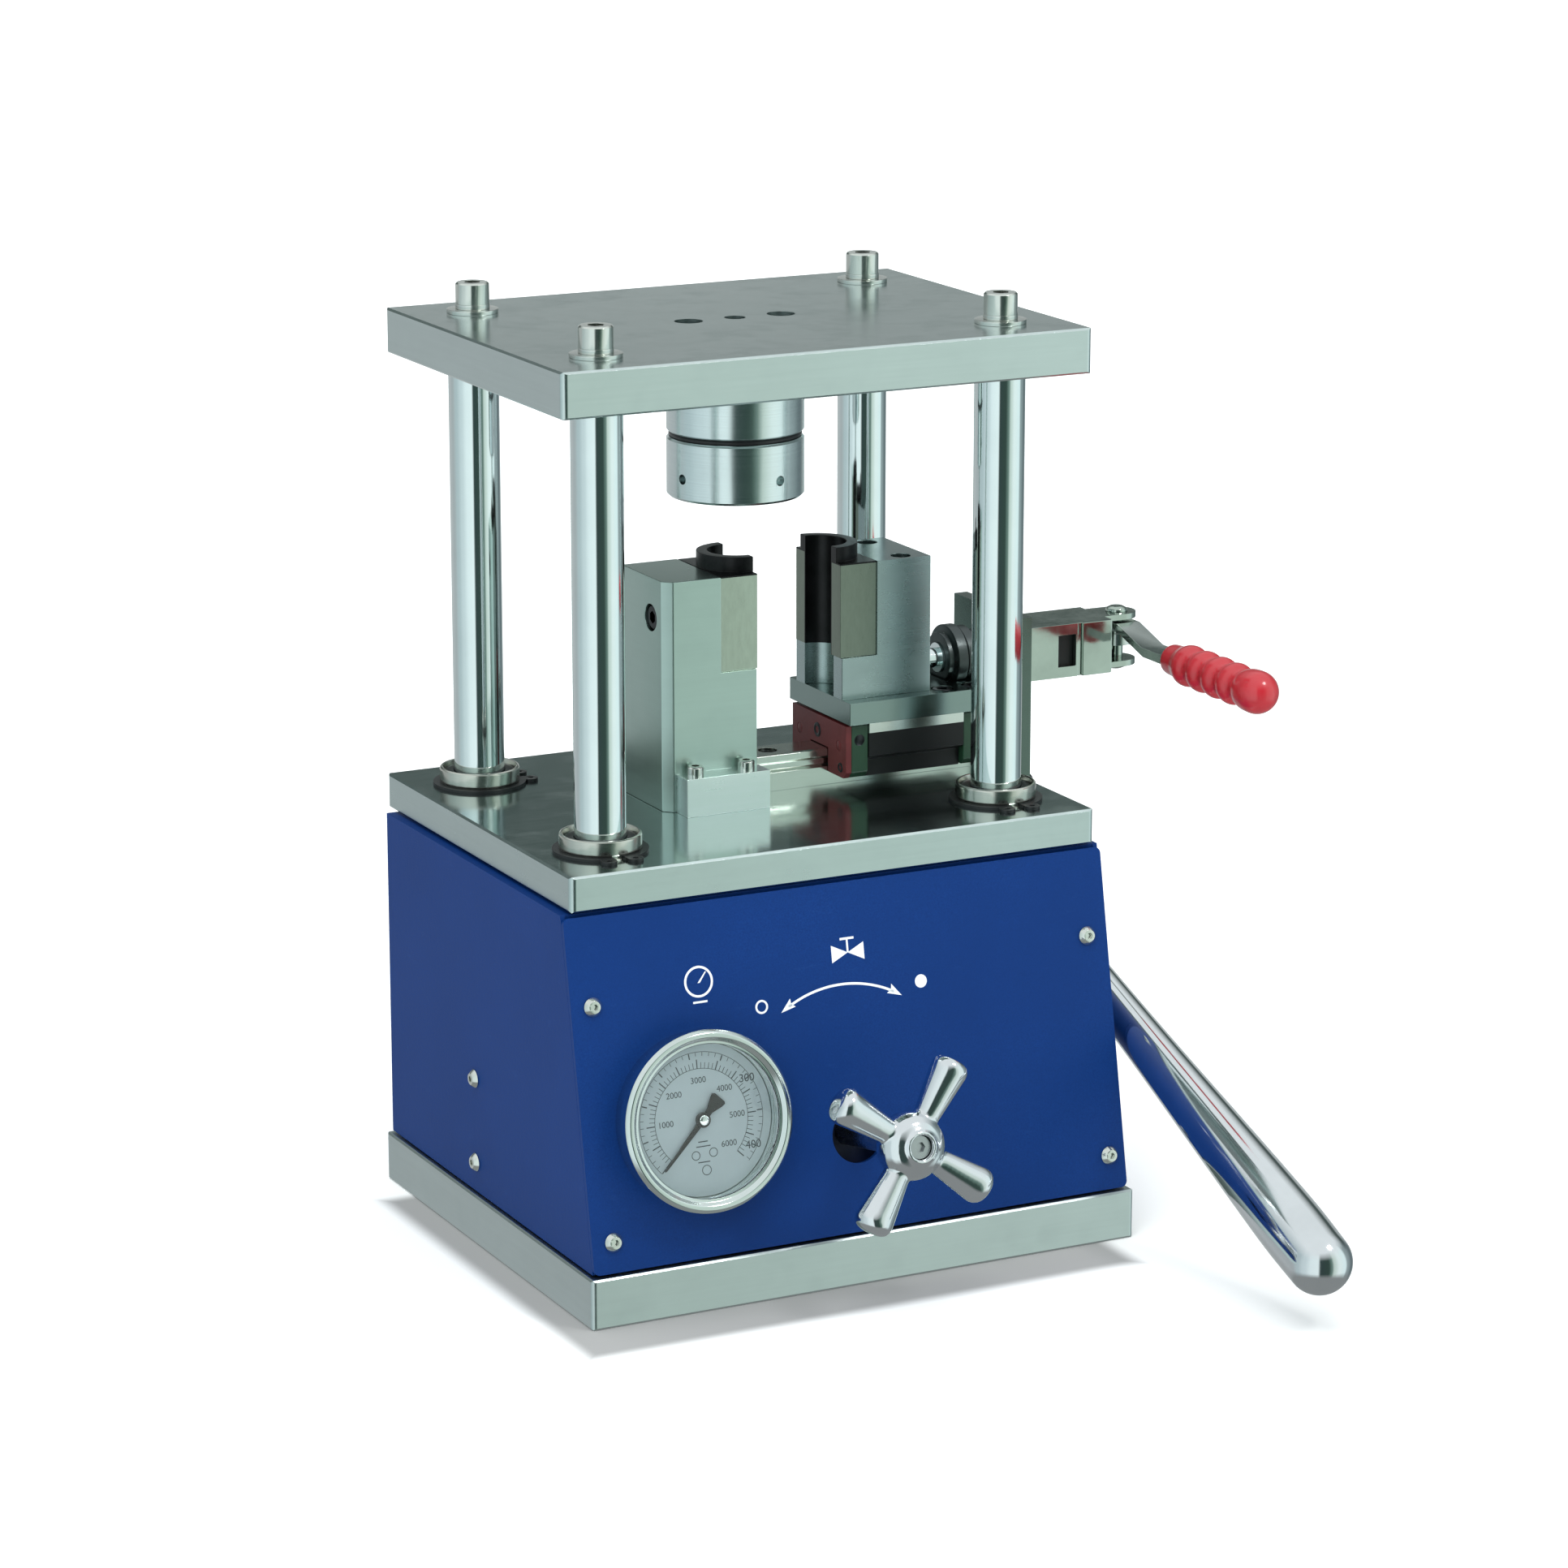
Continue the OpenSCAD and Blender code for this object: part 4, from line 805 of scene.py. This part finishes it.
def plate(bm, x0, x1, y0, y1, low, high, turn=None):
    """Flat rectangle, given by its sides."""
    prism(bm, [(x0, y0), (x1, y0), (x1, y1), (x0, y1)], low, high, turn)


DIAL_START, DIAL_END = 225, -45  # degrees from the dial's right, both scales
DIAL_FACE, DIAL_INK = 4.42, 0.05


def dial_print():
    """Two scales on the dial: a coarse inner one and an outer one with bold numbers."""
    bm = bmesh.new()
    low, high = DIAL_FACE, DIAL_FACE + DIAL_INK

    def mark(degrees, inner, outer, width):
        turn = Matrix.Rotation(math.radians(degrees), 4, "Z")
        plate(bm, inner, outer, -width / 2, width / 2, low, high, turn)

    def number(text, size, degrees, radius, height=DIAL_INK):
        a = math.radians(degrees)
        digits(bm, text, size, radius * math.cos(a), radius * math.sin(a), low, height)

    for k in range(61):
        mark(DIAL_START - 4.5 * k, 19.6, 21.8 if k % 5 else 23.0, 0.22 if k % 5 else 0.42)
    for k in range(43):
        mark(DIAL_START - 6.4 * k, 24.2 if k % 5 else 23.4, 25.6, 0.20 if k % 5 else 0.45)
    for radius in (19.5, 25.8):
        rim(bm, 0, 0, radius - 0.1, radius + 0.1, DIAL_START, DIAL_END, 72, low, high)
    for k in range(1, 7):
        number(str(1000 * k), 3.3, DIAL_START - 45 * k, 15.0)
    for k in range(3, 5):
        number(str(100 * k), 4.4, DIAL_START - 64 * k, 24.18, 0.07)
    # small generic marks in the lower part of the dial
    for x, y, r in ((-3.6, -13.4, 1.7), (3.8, -13.0, 1.7), (0.4, -19.4, 1.9)):
        rim(bm, x, y, r - 0.2, r + 0.1, 0, 360, 20, low, high)
    for x, y, width in ((-0.2, -8.4, 4.0), (-0.2, -10.2, 6.0), (-0.4, -16.2, 5.0)):
        plate(bm, x - width / 2, x + width / 2, y - 0.2, y + 0.2, low, high)
    piece("dial_print", bm, PRINT_DARK, "frame", on_gauge(), smooth=False)


def needle():
    """Pointer with a spade tail and a bright centre cap."""
    turn = Matrix.Rotation(math.radians(DIAL_START), 4, "Z")
    bm = bmesh.new()
    prism(bm, [(-10.8, -2.6), (-10.2, -3.3), (-8.6, -3.0), (-4.4, -1.25), (24.0, -0.32),
               (24.8, 0.0), (24.0, 0.32), (-4.4, 1.25), (-8.6, 3.0), (-10.2, 3.3), (-10.8, 2.6)],
          -0.4, 0.35, turn)
    lathe(bm, [(0, -2.4), (1.5, -2.4), (1.5, -0.5), (2.9, -0.5), (2.9, 0.7), (2.6, 1.0), (0, 1.0)],
          sides=48)
    obj = piece("needle_black", bm, MATERIALS["needle_black"], "gauge_pointer",
                on_gauge(NEEDLE_OUT), smooth=False)
    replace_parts(obj, "gauge_needle")
    bm = bmesh.new()
    lathe(bm, [(0, 1.02), (1.9, 1.02), (2.0, 1.15), (2.0, 1.4), (1.7, 1.62), (0.8, 1.7), (0, 1.7)],
          sides=48)
    piece("needle_cap", bm, MATERIALS["gauge_steel"], "gauge_pointer",
          on_gauge(NEEDLE_OUT))


PANEL_INK = (0.01, 0.06)  # heights over the panel


def panel_print():
    """White marks on the panel: a double arrow over the valve, and plain signs."""
    bm = bmesh.new()
    low, high = PANEL_INK

    def band(x, y, radius, width, start, end, steps):
        rim(bm, x, y, radius - width / 2, radius + width / 2, start, end, steps, low, high)

    # the arrow's arc, its centre measured from the valve axis
    cx, cy, radius, half, line = -2.35, 10.1, 48.5, 31.0, 0.95
    band(cx, cy, radius, line, 90 - half + 3, 90 + half - 3, 40)
    for side in (-1, 1):
        a = math.radians(90 + side * (half + 1.5))
        tip = Vector((cx + radius * math.cos(a), cy + radius * math.sin(a)))
        run = Vector((-math.sin(a), math.cos(a))) * side
        across = Vector((math.cos(a), math.sin(a)))
        back = tip - run * 6.2
        prism(bm, [tuple(tip), tuple(back + across * 2.0), tuple(back + run * 0.9),
                   tuple(back - across * 2.0)], low, high)
    # open ring and filled disc at the ends of the arrow
    band(-36.5, 54.4, 2.3, 0.8, 0, 360, 32)
    dot, sides = 2.6, 32
    prism(bm, [(32.5 + dot * math.cos(2 * math.pi * k / sides),
                55.4 + dot * math.sin(2 * math.pi * k / sides)) for k in range(sides)], low, high)
    # valve sign: two triangles point to point with a stem
    vx, vy = 2.0, 70.5
    prism(bm, [(vx - 7, vy - 3.4), (vx, vy), (vx - 7, vy + 3.4)], low, high)
    prism(bm, [(vx + 7, vy - 3.4), (vx + 7, vy + 3.4), (vx, vy)], low, high)
    plate(bm, vx - 0.4, vx + 0.4, vy, vy + 5, low, high)
    plate(bm, vx - 3, vx + 3, vy + 5, vy + 5.9, low, high)
    # gauge sign: ring with a pointer
    gx, gy = -62.0, 67.5
    band(gx, gy, 5.6, 0.9, 0, 360, 48)
    prism(bm, [(gx - 0.5, gy - 0.5), (gx + 0.5, gy - 0.5), (gx + 3.4, gy + 3.4),
               (gx + 3.0, gy + 3.6)], low, high)
    plate(bm, gx - 3.0, gx + 3.0, gy - 8.2, gy - 7.4, low, high)
    piece("panel_print", bm, PRINT_WHITE, "frame", on_valve(), smooth=False)


def small_screws():
    """Black heads and red plugs in the carriage's end, and dark rings in the bearings' recesses
    round the columns.
    """
    low, high = in_mm(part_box("carriage_seals"))
    front = in_mm(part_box("carriage_caps"))[0]
    foot = in_mm(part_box("slide_rail"))[0][2]
    mid = (low[1] + high[1]) / 2
    bm = bmesh.new()
    for y, z, r in ((1.5, 20.6, 3.0), (18.6, 9.4, 2.0), (-18.6, 9.4, 2.0)):
        head = [(r, -0.6), (r, 0.1), (r * 0.85, 0.35), (r * 0.5, 0.25), (r * 0.5, -0.9), (0, -0.9)]
        lathe(bm, head, along((low[0], mid + y, foot + z), (-1, 0, 0)), 32)
    lathe(bm, [(0, 0.12), (2.1, 0.12), (2.3, 0.0), (2.3, -0.6), (0, -0.6)],
          along((front[0] + 3.6, front[1], foot + 21.0), (0, -1, 0)), 32)
    piece("seal_screws", bm, MATERIALS["black_screw"], "jaw_carriage")
    bm = bmesh.new()
    for y in (-17.0, 17.0):
        lathe(bm, [(0, 0.02), (1.9, 0.0), (2.18, -0.2), (2.18, -1.5), (0, -1.5)],
              along((low[0], mid + y, foot + 18.0), (-1, 0, 0)), 32)
    piece("seal_plugs", bm, MATERIALS["seal_red"], "jaw_carriage")
    low, high = in_mm(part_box("linear_bearings"))
    radius, recess = 16.0, 2.4
    top = high[2] - recess
    bm = bmesh.new()
    for x in (low[0] + radius, high[0] - radius):
        for y in (low[1] + radius, high[1] - radius):
            lathe(bm, [(10.25, top + 0.01), (10.25, top + 0.5), (10.7, top + 0.75),
                       (13.2, top + 0.6), (14.0, top + 0.2), (14.0, top + 0.01)],
                  Matrix.Translation((x, y, 0)), 72)
    piece("bearing_recess_rings", bm, MATERIALS["circlip_black"], "moving_table")


def die_groove_ring():
    """Dark ring in the groove between the die and its holder."""
    top = in_mm(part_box("die_holder"))[0][2]
    inner, outer = 23.1, 25.9
    bm = bmesh.new()
    lathe(bm, [(inner, top - 1.9), (outer, top - 1.9), (outer + 0.3, top - 1.0),
               (outer, top - 0.1), (inner, top - 0.1)], sides=96)
    piece("groove_ring", bm, MATERIALS["circlip_black"], "frame")


# ---------------------------------------------------------------- build

add_camera()
studio()
dress_nodes()
pump_lever()
lever_grip()
valve_handle()
dial_print()
needle()
panel_print()
small_screws()
die_groove_ring()
window_liner()
bpy.context.scene.view_settings.view_transform = "Standard"
